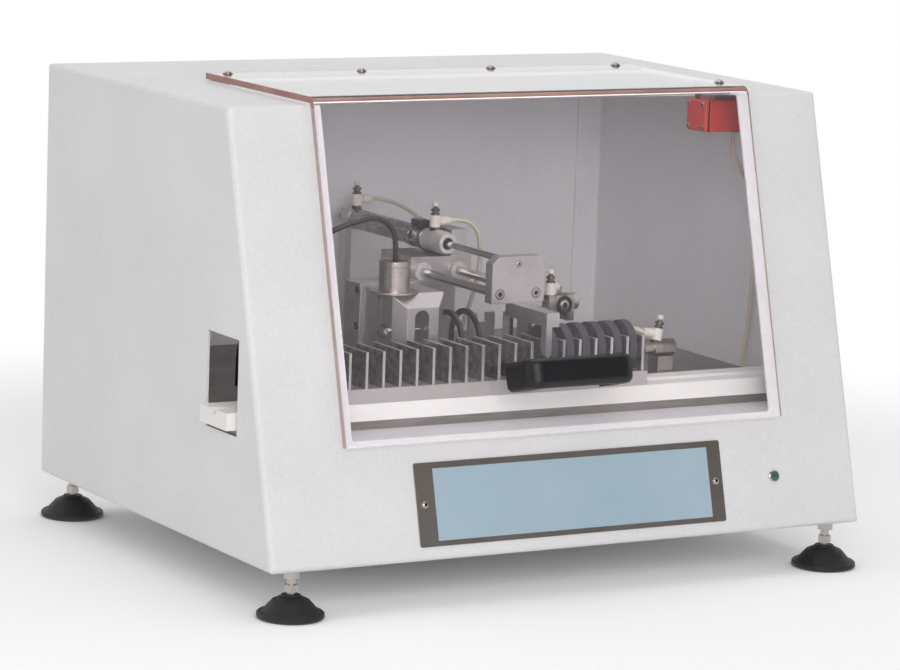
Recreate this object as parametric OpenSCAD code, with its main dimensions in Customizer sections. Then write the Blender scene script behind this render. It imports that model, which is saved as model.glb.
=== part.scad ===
// Bench hardness tester with a clear hinged lid and a sliding magazine of rubber discs.
// Frame: millimetres, +Z up, the front faces -Y, origin on the bench under the middle of the cabinet.

/* [Cabinet] */
// Width of the cabinet
body_w = 600; // [540:1:700]
// Depth of the cabinet at its base
body_d = 467; // [440:1:520]
// Height of the cabinet without its feet
body_h = 381; // [360:1:440]
// How far the top of the sloping front lies behind its base
front_setback = 103; // [60:1:120]
// Sheet thickness of the cabinet
sheet_t = 2; // [1.5:0.1:3]
// Outer radius of the cabinet's folded edges
edge_r = 5; // [4:0.5:8]
// Width of the opening in front and top
opening_w = 426; // [380:1:430]
// Height of the deck, which is also the lower edge of the opening
deck_z = 103; // [90:1:110]
// How far behind the middle the opening in the top ends
opening_back_y = 26; // [-40:1:30]
// Width of the flange that the rear panel is screwed to
rear_flange = 28; // [20:1:40]

/* [Side window] */
// Rear edge of the side window
window_back_y = -105; // [-106:0.5:-95]
// Front edge of the side window
window_front_y = -163; // [-170:0.5:-162]
// Top of the side window above the cabinet's base
window_top_z = 188; // [186:1:200]

/* [Rail and floor] */
// Thickness of the machined floor plate on the deck
floor_t = 7.5; // [5:0.5:12]
// Depth of the slide rail, front to back
rail_d = 49.5; // [44:0.5:54]
// Height of the slide rail
rail_h = 15; // [10:0.5:20]
// Position of the rail's middle, front to back
rail_y = -136.25; // [-137:0.25:-134]
// How far the rail stands out of the side window
rail_out = 9; // [4:0.5:9]
// Width of the guide groove in the rail
groove_w = 12; // [8:0.5:16]
// Depth of the guide groove in the rail
groove_d = 4; // [3:0.5:6]

/* [Magazine] */
// Number of slots for the discs
slot_count = 20; // [12:1:20]
// Distance from one fin to the next
fin_pitch = 16.5; // [15:0.1:18]
// Thickness of a fin
fin_t = 3; // [2:0.1:4]
// Height of the fins above the magazine's base
fin_h = 32; // [26:0.5:34]
// Depth of the magazine, front to back
magazine_d = 47.5; // [44:0.5:48]
// Height of the magazine's base
magazine_base_h = 12.5; // [10:0.5:14]
// How far the base stands out past the end fins
magazine_end = 5.5; // [3:0.5:8]
// Number of discs that wait at the right
disc_count = 6; // [1:1:6]
// Diameter of a rubber disc
disc_dia = 43; // [38:0.5:43]
// Thickness of a rubber disc
disc_t = 8; // [5:0.5:10]

/* [Puller] */
// Middle of the puller, left to right
puller_x = 1.3; // [0:0.1:2]
// Width of the puller plate
plate_w = 54; // [50:0.5:60]
// Height of the puller plate
plate_h = 42; // [38:0.5:46]
// Thickness of the puller plate
plate_t = 12; // [8:0.5:14]
// Front face of the puller plate
plate_y = -124; // [-126:0.5:-120]
// Chamfer on the plate's top corners
plate_chamfer = 6.5; // [4:0.5:8]
// Height of the guide rods above the cabinet's base
rod_z = 205.7; // [204:0.1:208]
// Distance between the two guide rods
rod_gap = 37.2; // [34:0.1:40]
// Diameter of a guide rod
rod_dia = 8; // [6:0.5:10]
// Travel of the puller
puller_travel = 60; // [50:1:60]
// Height of the main cylinder's axis
piston_z = 232.3; // [231:0.1:234]
// Width of the puller's arm
arm_w = 12.4; // [10:0.1:14]
// Height of the puller's arm
arm_h = 13; // [10:0.5:14]
// Front face of the arm's finger
arm_y = -172; // [-176:0.5:-171]
// Width of the finger that enters a slot
finger_w = 7; // [5:0.5:8]

/* [Bearing block] */
// Width of the bearing block
block_w = 55; // [52:0.5:60]
// Depth of the bearing block
block_d = 55; // [45:0.5:60]
// Height of the bearing block
block_h = 27.5; // [24:0.5:28]
// Front face of the bearing block
block_y = 25; // [10:1:30]

/* [Main cylinder] */
// Outer diameter of the cylinder's tube
cyl_dia = 19; // [16:0.5:22]
// Front end of the cylinder's tube
cyl_front_y = 56; // [54:1:60]
// Rear end of the cylinder's tube
cyl_back_y = 186; // [170:1:190]
// Diameter of the piston rod
piston_dia = 6; // [5:0.5:8]

/* [Tester head] */
// Middle of the head's front block, left to right
head_x = -90; // [-96:0.5:-84]
// Front face of the head
head_y = -105; // [-106:0.5:-104]
// Width of the head's front face
head_face_w = 27; // [22:0.5:32]
// Full width of the head's block
head_w = 52; // [46:0.5:56]
// Top of the head's block above the cabinet's base
head_top_z = 207; // [200:0.5:212]
// Width of the arched slot
slot_w = 14; // [10:0.5:16]
// Diameter of the sensor cup
cup_dia = 28; // [24:0.5:32]
// Height of the sensor cup
cup_h = 20; // [16:0.5:24]

/* [Lid] */
// How far the lid reaches past the opening at each side
lid_lap = 9.5; // [8:0.5:14]
// Thickness of the clear sheet
lid_t = 5.5; // [4:0.5:6]
// Lower end of the lid above the cabinet's base
lid_bottom_z = 97.5; // [92:0.5:100]
// Rear edge of the lid
lid_back_y = 66; // [60:1:80]
// Inner radius of the bend
bend_r = 4; // [3:0.5:8]
// Length of the handle
handle_w = 127; // [110:1:140]
// Height of the handle's grip
handle_h = 26; // [22:1:30]
// How far the handle stands off the lid
handle_out = 38; // [32:1:42]

/* [Hinge] */
// Thickness of a hinge leaf
leaf_t = 0.8; // [0.6:0.1:1]
// Outer radius of the knuckles
knuckle_r = 2.1; // [1.9:0.1:2.4]
// Radius of the hinge pin
hinge_pin_r = 1; // [0.8:0.1:1.2]
// Number of knuckles
knuckle_count = 15; // [9:2:21]

/* [Nameplate and lamp] */
// Height of the nameplate's middle above the cabinet's base
nameplate_z = 47; // [42:0.5:52]
// Width of the nameplate
nameplate_w = 312; // [280:1:330]
// Height of the nameplate
nameplate_h = 72; // [60:1:76]
// Thickness of the nameplate
nameplate_t = 1.2; // [0.8:0.1:2]
// Diameter of the lamp's bezel
lamp_dia = 11; // [9:0.5:14]
// Distance of the lamp from the nameplate
lamp_gap = 56; // [40:1:70]

/* [Feet] */
// Height of the cabinet's base above the bench
foot_h = 41; // [36:1:50]
// Distance of a foot's middle from the cabinet's side
foot_side = 27; // [26:0.5:40]
// Distance of a foot's middle from the front and rear edges of the base
foot_end = 15.5; // [15:0.5:30]
// Radius of a foot's flange
foot_r = 29; // [24:1:32]
// Radius of the threaded stud
stud_r = 4; // [3:0.5:5]

/* [Transfer and index] */
// Thickness of the transfer lane's bed
lane_t = 8; // [6:0.5:10]
// Right end of the transfer lane
lane_right_x = 40; // [38:1:46]
// Right end of the transfer cylinder's tube
transfer_end_x = 76; // [72:1:80]
// Right end of the index cylinder's rod gland
index_x = 165; // [160:1:170]

/* [Power and air] */
// Middle of the power inlet, left to right
inlet_x = -210; // [-220:1:-190]
// Middle of the air inlet, left to right
air_x = -140; // [-150:1:-120]
// Height of both inlets above the cabinet's base
inlet_z = 60; // [56:1:70]

/* [Fits] */
// Radial running clearance of a shaft in its bore
fit = 0.05; // [0.02:0.01:0.08]
// Gap between flat faces that slide
glide = 0.2; // [0.1:0.05:0.3]

/* [Hidden] */
$fn = 48;
half_w = body_w/2;
half_d = body_d/2;
foot_x = half_w - foot_side;
foot_y = half_d - foot_end;
lid_w = opening_w + 2*lid_lap;
lamp_x = nameplate_w/2 + lamp_gap;
front_angle = atan(front_setback/body_h);
nameplate_up = nameplate_z/cos(front_angle);
floor_z = deck_z + floor_t;
rail_top_z = floor_z + rail_h;
magazine_z = rail_top_z + glide;
magazine_top_z = magazine_z + magazine_base_h;
rail_front_y = rail_y - rail_d/2;
rail_left_x = -half_w - rail_out;
rail_right_x = half_w - sheet_t - 1;
slot_x = puller_x - 3.5;
last_fin_x = slot_x + (disc_count + 0.5)*fin_pitch;
magazine_left_x = last_fin_x - slot_count*fin_pitch - magazine_end;
magazine_right_x = last_fin_x + magazine_end;
lane_y = rail_y + puller_travel - 4.5;
block_z = rod_z - block_h/2 - 0.5;
rod_back_y = block_y + block_d + 12;
leaf_gap = 0.2;
hinge_y = lid_back_y + knuckle_r + 0.15;
hinge_z = body_h + knuckle_r;
flange_z = body_h + 2*leaf_t + leaf_gap;
leaf_front_y = lid_back_y - 34;
cup_x = head_x - 17;
cup_y = head_y + 24;
cup_z = head_top_z + 5;
index_y = rail_y + rail_d/2 + 14;
index_z = rail_top_z + 21;
plate_low_z = rod_z - 8.5;
arm_low_z = plate_low_z - arm_h;
arm_left_x = slot_x + finger_w/2 - 5.5;
transfer_r = 2.5;
transfer_z = arm_low_z - transfer_r - 0.7;
port_z = rod_z - 15;
pusher_x = arm_left_x + arm_w + 1;
nose_x = pusher_x + 14.8;
screw_x = [for (i = [0:3]) -lid_w/2 + 22.5 + i*(lid_w - 40)/3];
key_x = opening_w/2 - 9;
key_w = 6;
key_screw_x = lid_w/2 - 9.5;
socket_z = 9;
tube_sides = 8;
switch_size = [54, 31, 28];
switch_at = [opening_w/2 - 12, -76, body_h - sheet_t - 32];
switch_screws = [[-11, 4], [11, 4], [-11, 24], [11, 24]];
key_depth = 7;

// Shared helpers
module up() { translate([0, 0, foot_h]) children(); }

// A box given by its lowest and highest corners
module box(low, high) { translate(low) cube(high - low); }

module rod_x(at, length, r) { translate(at) rotate([0, 90, 0]) cylinder(r = r, h = length); }

module rod_y(at, length, r) { translate(at) rotate([-90, 0, 0]) cylinder(r = r, h = length); }

module rod_z(at, length, r) { translate(at) cylinder(r = r, h = length); }

// A hexagon across its flats, standing on Z
module hex(across, h) { cylinder(r = across/2/cos(30), h = h, $fn = 6); }

// A pan head with a round recess, standing on its seat
module pan_head(r) {
  rotate_extrude()
    polygon([[0, 0], [r, 0], [r, 0.25*r], [0.78*r, 0.5*r], [0.38*r, 0.62*r], [0.38*r, 0.35*r], [0, 0.35*r]]);
}

// Extrudes a shape drawn in Y and Z along X
module along_x(from, to) { translate([from, 0, 0]) rotate([90, 0, 90]) linear_extrude(to - from) children(); }

// Extrudes a shape drawn in X and Z along Y
module along_y(from, to) { translate([0, to, 0]) rotate([90, 0, 0]) linear_extrude(to - from) children(); }

// Moves a child from flat on XY to the sloping front, with its origin at the front's lower edge
module on_front() { translate([0, -half_d, 0]) rotate([90 - front_angle, 0, 0]) children(); }

// Depth of the outer front face at a height
function front_y(z) = -half_d + z*tan(front_angle);

// Unit vector from one point to another
function toward(a, b) = (b - a)/norm(b - a);

// Points of an arc that rounds one corner of an outline
function rounding(a, b, c, r, n) =
  let (u = toward(b, a), v = toward(b, c), half = acos(u*v)/2, d = r/tan(half),
    m = toward([0, 0], u + v), centre = b + m*(r/sin(half)), p = b + u*d - centre, q = b + v*d - centre,
    turn = 180 - 2*half)
  [for (i = [0:n]) centre + (p*sin(turn*(1 - i/n)) + q*sin(turn*i/n))/sin(turn)];

// An outline with every corner rounded
function rounded(points, r, n = 5) =
  let (k = len(points))
  [for (i = [0:k - 1]) each rounding(points[(i + k - 1)%k], points[i], points[(i + 1)%k], r, n)];

// A rectangle from its corners, as an outline
function rectangle(x0, y0, x1, y1) = [[x0, y0], [x1, y0], [x1, y1], [x0, y1]];

// Tube swept along a route, as one closed polyhedron
function heading(route, i) = toward(route[max(i - 1, 0)], route[min(i + 1, len(route) - 1)]);
function across(d) = abs(d.z) > 0.9 ? toward([0, 0, 0], cross(d, [0, 1, 0])) : toward([0, 0, 0], cross(d, [0, 0, 1]));
function ring(route, i, r, n) =
  let (d = heading(route, i), u = across(d), v = cross(d, u))
  [for (k = [0:n - 1]) route[i] + r*(u*cos(360*k/n) + v*sin(360*k/n))];
module swept(route, r, n = tube_sides) {
  rings = len(route);
  points = [for (i = [0:rings - 1]) each ring(route, i, r, n)];
  sides = [for (i = [0:rings - 2]) for (k = [0:n - 1])
    [i*n + k, i*n + (k + 1)%n, (i + 1)*n + (k + 1)%n, (i + 1)*n + k]];
  first = [for (k = [0:n - 1]) n - 1 - k];
  last = [for (k = [0:n - 1]) (rings - 1)*n + k];
  polyhedron(points, concat([first], sides, [last]), convexity = 4);
}

// A route rounded by a curve through hand-chosen points
function curve_at(p, i, t) =
  let (n = len(p), a = p[max(i - 1, 0)], b = p[i], c = p[min(i + 1, n - 1)], d = p[min(i + 2, n - 1)])
  0.5*((2*b) + (c - a)*t + (2*a - 5*b + 4*c - d)*t*t + (3*b - a - 3*c + d)*t*t*t);
function smooth(p, steps = 3) =
  concat([for (i = [0:len(p) - 2]) for (s = [0:steps - 1]) curve_at(p, i, s/steps)], [p[len(p) - 1]]);

// Cabinet
// The cabinet's solid form, drawn in by an inset on every side
module cabinet_form(inset) {
  r = edge_r - inset;
  w = half_w - inset;
  lean = inset/cos(front_angle) - inset*tan(front_angle);
  intersection() {
    along_x(-w, w)
      polygon(rounded([[-half_d + lean + 2*inset*tan(front_angle), inset], [half_d - inset, inset],
        [half_d - inset, body_h - inset], [-half_d + front_setback + lean, body_h - inset]], r));
    along_y(-half_d - 1, half_d + 1)
      polygon(rounded(rectangle(-w, inset, w, body_h - inset), r));
    linear_extrude(body_h + 1)
      polygon(rounded(rectangle(-w, -half_d - 2*edge_r, w, half_d - inset), r));
    translate([0, -half_d, 0]) rotate([-front_angle, 0, 0]) translate([0, 0, -body_h])
      linear_extrude(3*body_h)
        polygon(rounded(rectangle(-w, inset, w, 2*body_d), r));
  }
}

module cabinet_shell() {
  ledge_w = 12;
  vent_count = 8;
  vent_pitch = 14;
  vent_w = 6;
  vent_l = 120;
  vents_x = -150;
  color("whitesmoke") up() difference() {
    union() {
      difference() {
        cabinet_form(0);
        cabinet_form(sheet_t);
      }
      // Ledges that carry the deck
      for (side = [-1, 1]) {
        wall = side*(half_w - sheet_t);
        box([min(wall, wall - side*ledge_w), -150, deck_z - 2*sheet_t],
          [max(wall, wall - side*ledge_w), half_d - 40, deck_z - sheet_t]);
      }
    }
    // Opening in the front and over the bend into the top
    along_y(-half_d - 10, opening_back_y)
      polygon(rounded(rectangle(-opening_w/2, deck_z, opening_w/2, body_h + 20), 3));
    // Side window
    along_x(-half_w - 10, -half_w + 10)
      polygon(rectangle(window_front_y, deck_z + 2, window_back_y, window_top_z));
    // Rear opening, closed by the rear panel
    along_y(half_d - 10, half_d + 10)
      polygon(rectangle(-half_w + rear_flange, rear_flange, half_w - rear_flange, body_h - rear_flange));
    // Holes for the studs of the feet
    for (x = [-foot_x, foot_x], y = [-foot_y, foot_y]) rod_z([x, y, -5], 15, stud_r + 0.3);
    // Lamp hole
    on_front() translate([lamp_x, nameplate_up, -10]) cylinder(r = lamp_dia/2 - 1.5, h = 20);
    // Vents in the bottom
    for (i = [0:vent_count - 1])
      box([vents_x + i*vent_pitch, -vent_l/2, -5], [vents_x + i*vent_pitch + vent_w, vent_l/2, sheet_t + 5]);
  }
}

module rear_panel() {
  lap = 12;
  panel_t = 1.5;
  slot_count_rear = 10;
  slot_pitch = 14;
  slot_size = [6, 52];
  slots_at = [60, 40];
  color("whitesmoke") up() difference() {
    along_y(half_d, half_d + panel_t)
      polygon(rounded(rectangle(-half_w + rear_flange - lap, rear_flange - lap,
        half_w - rear_flange + lap, body_h - rear_flange + lap), 4));
    for (i = [0:slot_count_rear - 1]) {
      x = slots_at.x + i*slot_pitch;
      along_y(half_d - 5, half_d + 5)
        polygon(rounded(rectangle(x, slots_at.y, x + slot_size.x, slots_at.y + slot_size.y), slot_size.x/2 - 0.1, 4));
    }
    along_y(half_d - 5, half_d + 5)
      polygon(rectangle(inlet_x - 14, inlet_z - 24, inlet_x + 14, inlet_z + 24));
    rod_y([air_x, half_d - 5, inlet_z], 10, 6.2);
  }
  color("silver") up() for (x = [-1, 0, 1], z = [rear_flange - 6, body_h - rear_flange + 6])
    translate([x*(half_w - rear_flange - 14), half_d + panel_t, z]) rotate([-90, 0, 0]) pan_head(3.5);
}

module deck_plate() {
  x = half_w - sheet_t - 0.3;
  color("gainsboro") up() translate([0, 0, deck_z - sheet_t]) linear_extrude(sheet_t)
    polygon(rounded(rectangle(-x, front_y(deck_z) + sheet_t + 0.6, x, half_d - sheet_t - 0.3), edge_r));
}

module floor_plate() {
  color("darkgray") up()
    box([-half_w + sheet_t + 1.5, rail_front_y, deck_z],
      [half_w - sheet_t - 1.5, half_d - 6, floor_z]);
}

module slide_rail() {
  color("white") up() difference() {
    box([rail_left_x, rail_front_y, floor_z], [rail_right_x, rail_front_y + rail_d, rail_top_z]);
    box([rail_left_x - 1, rail_y - groove_w/2, rail_top_z - groove_d],
      [rail_right_x + 1, rail_y + groove_w/2, rail_top_z + 1]);
  }
}

// Feet
module foot_pad(x, y) {
  skirt_h = 6;
  color("#202022") translate([x, y, 0]) difference() {
    rotate_extrude($fn = 60)
      polygon([[0, 0], [foot_r - 2, 0], [foot_r, 2], [foot_r - 0.2, skirt_h - 1.2], [foot_r - 1.6, skirt_h],
        [foot_r - 3.4, skirt_h - 0.4], [foot_r - 4, skirt_h - 0.2], [foot_r - 13, skirt_h + 9.8],
        [foot_r - 14.6, skirt_h + 10.6], [foot_r - 16, skirt_h + 10.2], [foot_r - 17.2, skirt_h + 11.6],
        [foot_r - 18.6, skirt_h + 12.6], [foot_r - 20.4, skirt_h + 12.6], [foot_r - 20.6, skirt_h + 14.3],
        [0, skirt_h + 14.3]]);
    translate([0, 0, socket_z]) cylinder(r = stud_r - 0.4 + fit, h = 20);
  }
}

module foot_studs() {
  hex_low = 22.8;
  hex_h = 6.2;
  shank = 12;
  color("silver") for (x = [-foot_x, foot_x], y = [-foot_y, foot_y]) translate([x, y, 0]) {
    translate([0, 0, socket_z]) cylinder(r = stud_r - 0.4, h = hex_low - socket_z + 0.2);
    translate([0, 0, hex_low]) hex(11, hex_h);
    translate([0, 0, hex_low + hex_h]) cylinder(r = stud_r - 0.1, h = foot_h - hex_low - hex_h + shank);
  }
}

module foot_nuts() {
  nut_h = 6.5;
  color("silver") for (x = [-foot_x, foot_x], y = [-foot_y, foot_y], z = [-nut_h, sheet_t])
    translate([x, y, foot_h + z]) difference() {
      hex(13, nut_h);
      translate([0, 0, -1]) cylinder(r = stud_r - 0.05, h = nut_h + 2);
    }
}

// Nameplate and lamp
module nameplate() {
  color("silver") up() on_front() translate([0, nameplate_up, 0]) difference() {
    linear_extrude(nameplate_t)
      polygon(rounded(rectangle(-nameplate_w/2, -nameplate_h/2, nameplate_w/2, nameplate_h/2), 2));
    for (side = [-1, 1]) translate([side*(nameplate_w/2 - 7.5), 0, -1]) cylinder(r = 1.6, h = 5);
  }
}

module nameplate_screws() {
  color("silver") up() on_front() for (side = [-1, 1])
    translate([side*(nameplate_w/2 - 7.5), nameplate_up, nameplate_t]) pan_head(3.4);
}

module lamp_bezel() {
  color("silver") up() on_front() translate([lamp_x, nameplate_up, 0]) difference() {
    union() {
      rotate_extrude() polygon([[0, 0], [lamp_dia/2, 0], [lamp_dia/2, 1], [lamp_dia/2 - 0.8, 1.6], [0, 1.6]]);
      translate([0, 0, -12]) cylinder(r = lamp_dia/2 - 1.6, h = 12.1);
    }
    translate([0, 0, -4]) cylinder(r = 3, h = 10);
  }
}

module lamp_lens() {
  color("green") up() on_front() translate([lamp_x, nameplate_up, -4])
    rotate_extrude() polygon([[0, 0], [2.9, 0], [2.9, 5.4], [2.2, 6.5], [0.8, 7], [0, 7]]);
}

// Hinge
module knuckles(start) {
  run = (lid_w - 12)/knuckle_count;
  for (i = [start:2:knuckle_count - 1])
    translate([-(lid_w - 12)/2 + i*run + 0.15, 0, 0]) children();
}

module hinge_fixed_leaf() {
  run = (lid_w - 12)/knuckle_count - 0.3;
  color("silver") up() difference() {
    union() {
      box([-(lid_w - 12)/2, leaf_front_y, body_h], [(lid_w - 12)/2, hinge_y - knuckle_r - 0.4, body_h + leaf_t]);
      knuckles(0) box([0, hinge_y - knuckle_r - 0.5, body_h], [run, hinge_y, body_h + leaf_t]);
      knuckles(0) rod_x([0, hinge_y, hinge_z], run, knuckle_r);
    }
    rod_x([-half_w, hinge_y, hinge_z], body_w, hinge_pin_r + 0.02);
  }
}

module hinge_moving_leaf() {
  run = (lid_w - 12)/knuckle_count - 0.3;
  low = body_h + leaf_t + leaf_gap;
  color("silver") up() difference() {
    union() {
      box([-(lid_w - 12)/2, leaf_front_y, low], [(lid_w - 12)/2, hinge_y - knuckle_r - 0.4, low + leaf_t]);
      knuckles(1) box([0, hinge_y - knuckle_r - 0.5, low], [run, hinge_y - 1, low + leaf_t]);
      knuckles(1) rod_x([0, hinge_y, hinge_z], run, knuckle_r);
    }
    rod_x([-half_w, hinge_y, hinge_z], body_w, hinge_pin_r + fit);
  }
}

module hinge_pin() {
  color("silver") up() rod_x([-(lid_w - 12)/2, hinge_y, hinge_z], lid_w - 12, hinge_pin_r);
}

// Lid
// The bent sheet's outline in Y and Z: flange, bend and leg
module lid_outline() {
  stand = flange_z - body_h;
  gap = stand/cos(front_angle);
  bend_angle = 90 - front_angle;
  // Where the inner faces of flange and leg would meet
  corner_y = -half_d + (body_h + stand)*tan(front_angle) - gap;
  centre = [corner_y + bend_r/tan((180 - bend_angle)/2), flange_z - bend_r];
  leg = (centre.y - lid_bottom_z)/cos(front_angle)*[-sin(front_angle), -cos(front_angle)];
  outer = [for (i = [0:8]) centre + (bend_r + lid_t)*[cos(90 + i*bend_angle/8), sin(90 + i*bend_angle/8)]];
  inner = [for (i = [8:-1:0]) centre + bend_r*[cos(90 + i*bend_angle/8), sin(90 + i*bend_angle/8)]];
  polygon(concat([[lid_back_y, flange_z], [lid_back_y, flange_z + lid_t]], outer,
    [outer[8] + leg, inner[0] + leg], inner));
}

module lid_shell() {
  color([0.85, 0.9, 0.92, 0.4]) up() difference() {
    along_x(-lid_w/2, lid_w/2) lid_outline();
    for (x = screw_x) rod_z([x, lid_back_y - 19, flange_z - 5], 20, 2.2);
  }
}

module lid_screws() {
  places = concat([for (x = screw_x) [x, lid_back_y - 19]], [[key_screw_x, -103]]);
  color("silver") up() for (place = places) translate([place.x, place.y, flange_z + lid_t]) {
    cylinder(r = 4.5, h = 0.8);
    translate([0, 0, 0.7]) pan_head(3.5);
  }
}

// Frame on the lid's outer front face, with its origin at the face's lower edge
module on_lid() {
  stand = flange_z - body_h + lid_t;
  up() translate([0, front_y(lid_bottom_z) - stand/cos(front_angle), lid_bottom_z])
    rotate([90 - front_angle, 0, 0]) children();
}

module lid_handle() {
  centre_x = 14.5;
  up_leg = 55;
  grip = 12;
  leg = 20;
  end_r = 9;
  edge = 6;
  top = [handle_h/2 - 1, handle_out];
  color("#1c1c1e") on_lid() translate([centre_x, up_leg, 0.02]) intersection() {
    // The bow seen from above
    along_y(-handle_h/2, handle_h/2) difference() {
      polygon(rounded([[-handle_w/2, -20], [handle_w/2, -20], [handle_w/2 - 4, handle_out],
        [-handle_w/2 + 4, handle_out]], end_r, 6));
      polygon(rounded([[-handle_w/2 + leg, -40], [handle_w/2 - leg, -40],
        [handle_w/2 - leg, handle_out - grip], [-handle_w/2 + leg, handle_out - grip]], 8, 6));
    }
    // Its section, rounded at the outer edges
    along_x(-handle_w/2, handle_w/2)
      polygon(concat([[-handle_h/2, 0], [handle_h/2, 0]], rounding([handle_h/2, 0], top, [-top.x, top.y], edge, 5),
        rounding(top, [-top.x, top.y], [-handle_h/2, 0], edge, 5)));
  }
}

module interlock_key() {
  key_t = 1.5;
  color("silver") up() {
    box([key_x, -110, flange_z - key_t], [key_screw_x + 7, -96, flange_z]);
    box([key_x, -97, flange_z - key_t], [key_x + key_w, switch_at.y + 1, flange_z]);
    box([key_x, switch_at.y - 1, switch_at.z + switch_size.z - key_depth],
      [key_x + key_w, switch_at.y + 1, flange_z - key_t + 0.1]);
  }
}

// Interlock switch and lid sensor, under the cabinet's top
module safety_switch() {
  slot = [9, 5, 20];
  color("#c23a35") up() translate(switch_at) difference() {
    along_x(0, switch_size.x)
      polygon(rounded(rectangle(-switch_size.y/2, 0, switch_size.y/2, switch_size.z), 3));
    for (place = switch_screws) rod_x([-1, place.x, place.y], 2, 2);
    translate([2, -slot.y/2, switch_size.z - 8]) cube(slot);
  }
  color("silver") up() translate(switch_at) {
    for (place = switch_screws) rod_x([0, place.x, place.y], 1, 1.95);
    // Bracket between switch and roof
    box([16, -12, switch_size.z], [48, 12, switch_size.z + 4]);
  }
}

module switch_gland() {
  color("#1c1c1e") up() translate([gland_x, switch_at.y, gland_z]) {
    cylinder(r = 4.5, h = 4);
    translate([0, 0, 4]) hex(11, 4);
  }
}

gland_x = switch_at.x + switch_size.x - 7;
wall_x = half_w - 9;
gland_z = switch_at.z - 8;
switch_route = [[gland_x, -76, gland_z], [gland_x, -76, gland_z - 14], [wall_x - 29, -70, gland_z - 36],
  [wall_x - 9, -61, gland_z - 59], [wall_x - 1, -57, gland_z - 102], [wall_x, -54, floor_z + 70],
  [wall_x - 1, -51, floor_z + 30], [wall_x - 3, -50, floor_z + 10], [wall_x - 3, -50, floor_z + 1]];
module switch_cable() { color("#d8d0c0") up() swept(smooth(switch_route), 1.8); }

module lid_sensor() {
  at = [-opening_w/2 - 9, -40, body_h - sheet_t];
  color("#1c1c1e") up() {
    box(at + [0, -8, -2], at + [14, 8, 0]);
    box(at + [11, -8, -34], at + [13, 8, -1]);
  }
  color("ivory") up() box(at + [13, -7, -32], at + [20, 7, -12]);
}

// Guide block of the puller
module bearing_stand() {
  foot_plate_t = 8;
  flange = 8;
  w = block_w - 16;
  color("silver") up() {
    box([puller_x - w/2, block_y + 6, floor_z + foot_plate_t - 0.1],
      [puller_x + w/2, block_y + block_d - 6, block_z]);
    box([puller_x - block_w/2 - flange, block_y, floor_z],
      [puller_x + block_w/2 + flange, block_y + block_d, floor_z + foot_plate_t]);
  }
}

module bearing_block() {
  color("silver") up() difference() {
    along_y(block_y, block_y + block_d)
      polygon(rounded(rectangle(puller_x - block_w/2, block_z, puller_x + block_w/2, block_z + block_h), 1, 2));
    for (side = [-1, 1]) rod_y([puller_x + side*rod_gap/2, block_y - 1, rod_z], block_d + 2, rod_dia/2 + 3);
  }
}

module rod_bushings() {
  color("ivory") up() for (side = [-1, 1], back = [0, 1])
    translate([puller_x + side*rod_gap/2, back ? block_y + block_d : block_y, rod_z]) rotate([-90, 0, 0])
      translate([0, 0, back ? -18 : -1.5]) difference() {
        union() {
          translate([0, 0, back ? 0 : 1.5]) cylinder(r = rod_dia/2 + 3, h = 18);
          translate([0, 0, back ? 18 : 0]) cylinder(r = rod_dia/2 + 4.5, h = 1.5);
        }
        translate([0, 0, -1]) cylinder(r = rod_dia/2 + fit, h = 24);
      }
}

module guide_rods() {
  color("silver") up() for (side = [-1, 1])
    rod_y([puller_x + side*rod_gap/2, plate_y + plate_t, rod_z], rod_back_y - plate_y - plate_t, rod_dia/2);
}

module puller_plate() {
  pocket_r = 4.6;
  pocket_depth = 5;
  half = plate_w/2;
  top = plate_low_z + plate_h;
  color("lightgray") up() difference() {
    along_y(plate_y, plate_y + plate_t) translate([puller_x, 0])
      polygon([[-half, plate_low_z], [half, plate_low_z], [half, top - plate_chamfer], [half - plate_chamfer, top],
        [-half + plate_chamfer, top], [-half, top - plate_chamfer]]);
    rod_y([puller_x, plate_y - 1, piston_z], plate_t + 2, piston_dia/2);
    for (side = [-1, 1]) rod_y([puller_x + side*rod_gap/2, plate_y - 1, rod_z], pocket_depth + 1, pocket_r);
  }
  color("dimgray") up() for (side = [-1, 1])
    rod_y([puller_x + side*rod_gap/2, plate_y + 0.6, rod_z], pocket_depth - 0.6, pocket_r - 0.3);
}

module puller_arm() {
  color("lightgray") up() {
    box([arm_left_x, arm_y, arm_low_z], [arm_left_x + arm_w, plate_y + plate_t, plate_low_z]);
    box([slot_x - finger_w/2, arm_y, magazine_top_z + disc_dia/2],
      [slot_x + finger_w/2, arm_y + 9, arm_low_z + 0.5]);
  }
}

module piston_rod() {
  color("silver") up() rod_y([puller_x, plate_y + 1, piston_z], cyl_front_y - plate_y + 40, piston_dia/2);
}

// Main cylinder
module cylinder_bracket() {
  left = puller_x - 15;
  bracket_w = 44;
  back = cyl_front_y - 9;
  color("gray") up() difference() {
    box([left, back - 5, block_z + block_h], [left + bracket_w, back, piston_z + 13]);
    rod_y([puller_x, 0, piston_z], 100, 7.1);
  }
}

module cylinder_tube() {
  wall = 1.6;
  band_y = cyl_front_y + 14;
  band_w = 9;
  band_r = cyl_dia/2 + 1;
  color("silver") up() difference() {
    union() {
      rod_y([puller_x, cyl_front_y, piston_z], cyl_back_y - cyl_front_y, cyl_dia/2);
      // Band clamp with its screw lug and the piston sensor
      rod_y([puller_x, band_y, piston_z], band_w, band_r);
      box([puller_x - 3, band_y + 1, piston_z + band_r - 1], [puller_x + 3, band_y + band_w - 1, piston_z + band_r + 5]);
      box([puller_x - band_r - 5, band_y - 8, piston_z - 1], [puller_x - band_r + 2, band_y + band_w + 8, piston_z + 6]);
    }
    rod_y([puller_x, cyl_front_y - 1, piston_z], cyl_back_y - cyl_front_y + 2, cyl_dia/2 - wall);
  }
}

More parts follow.
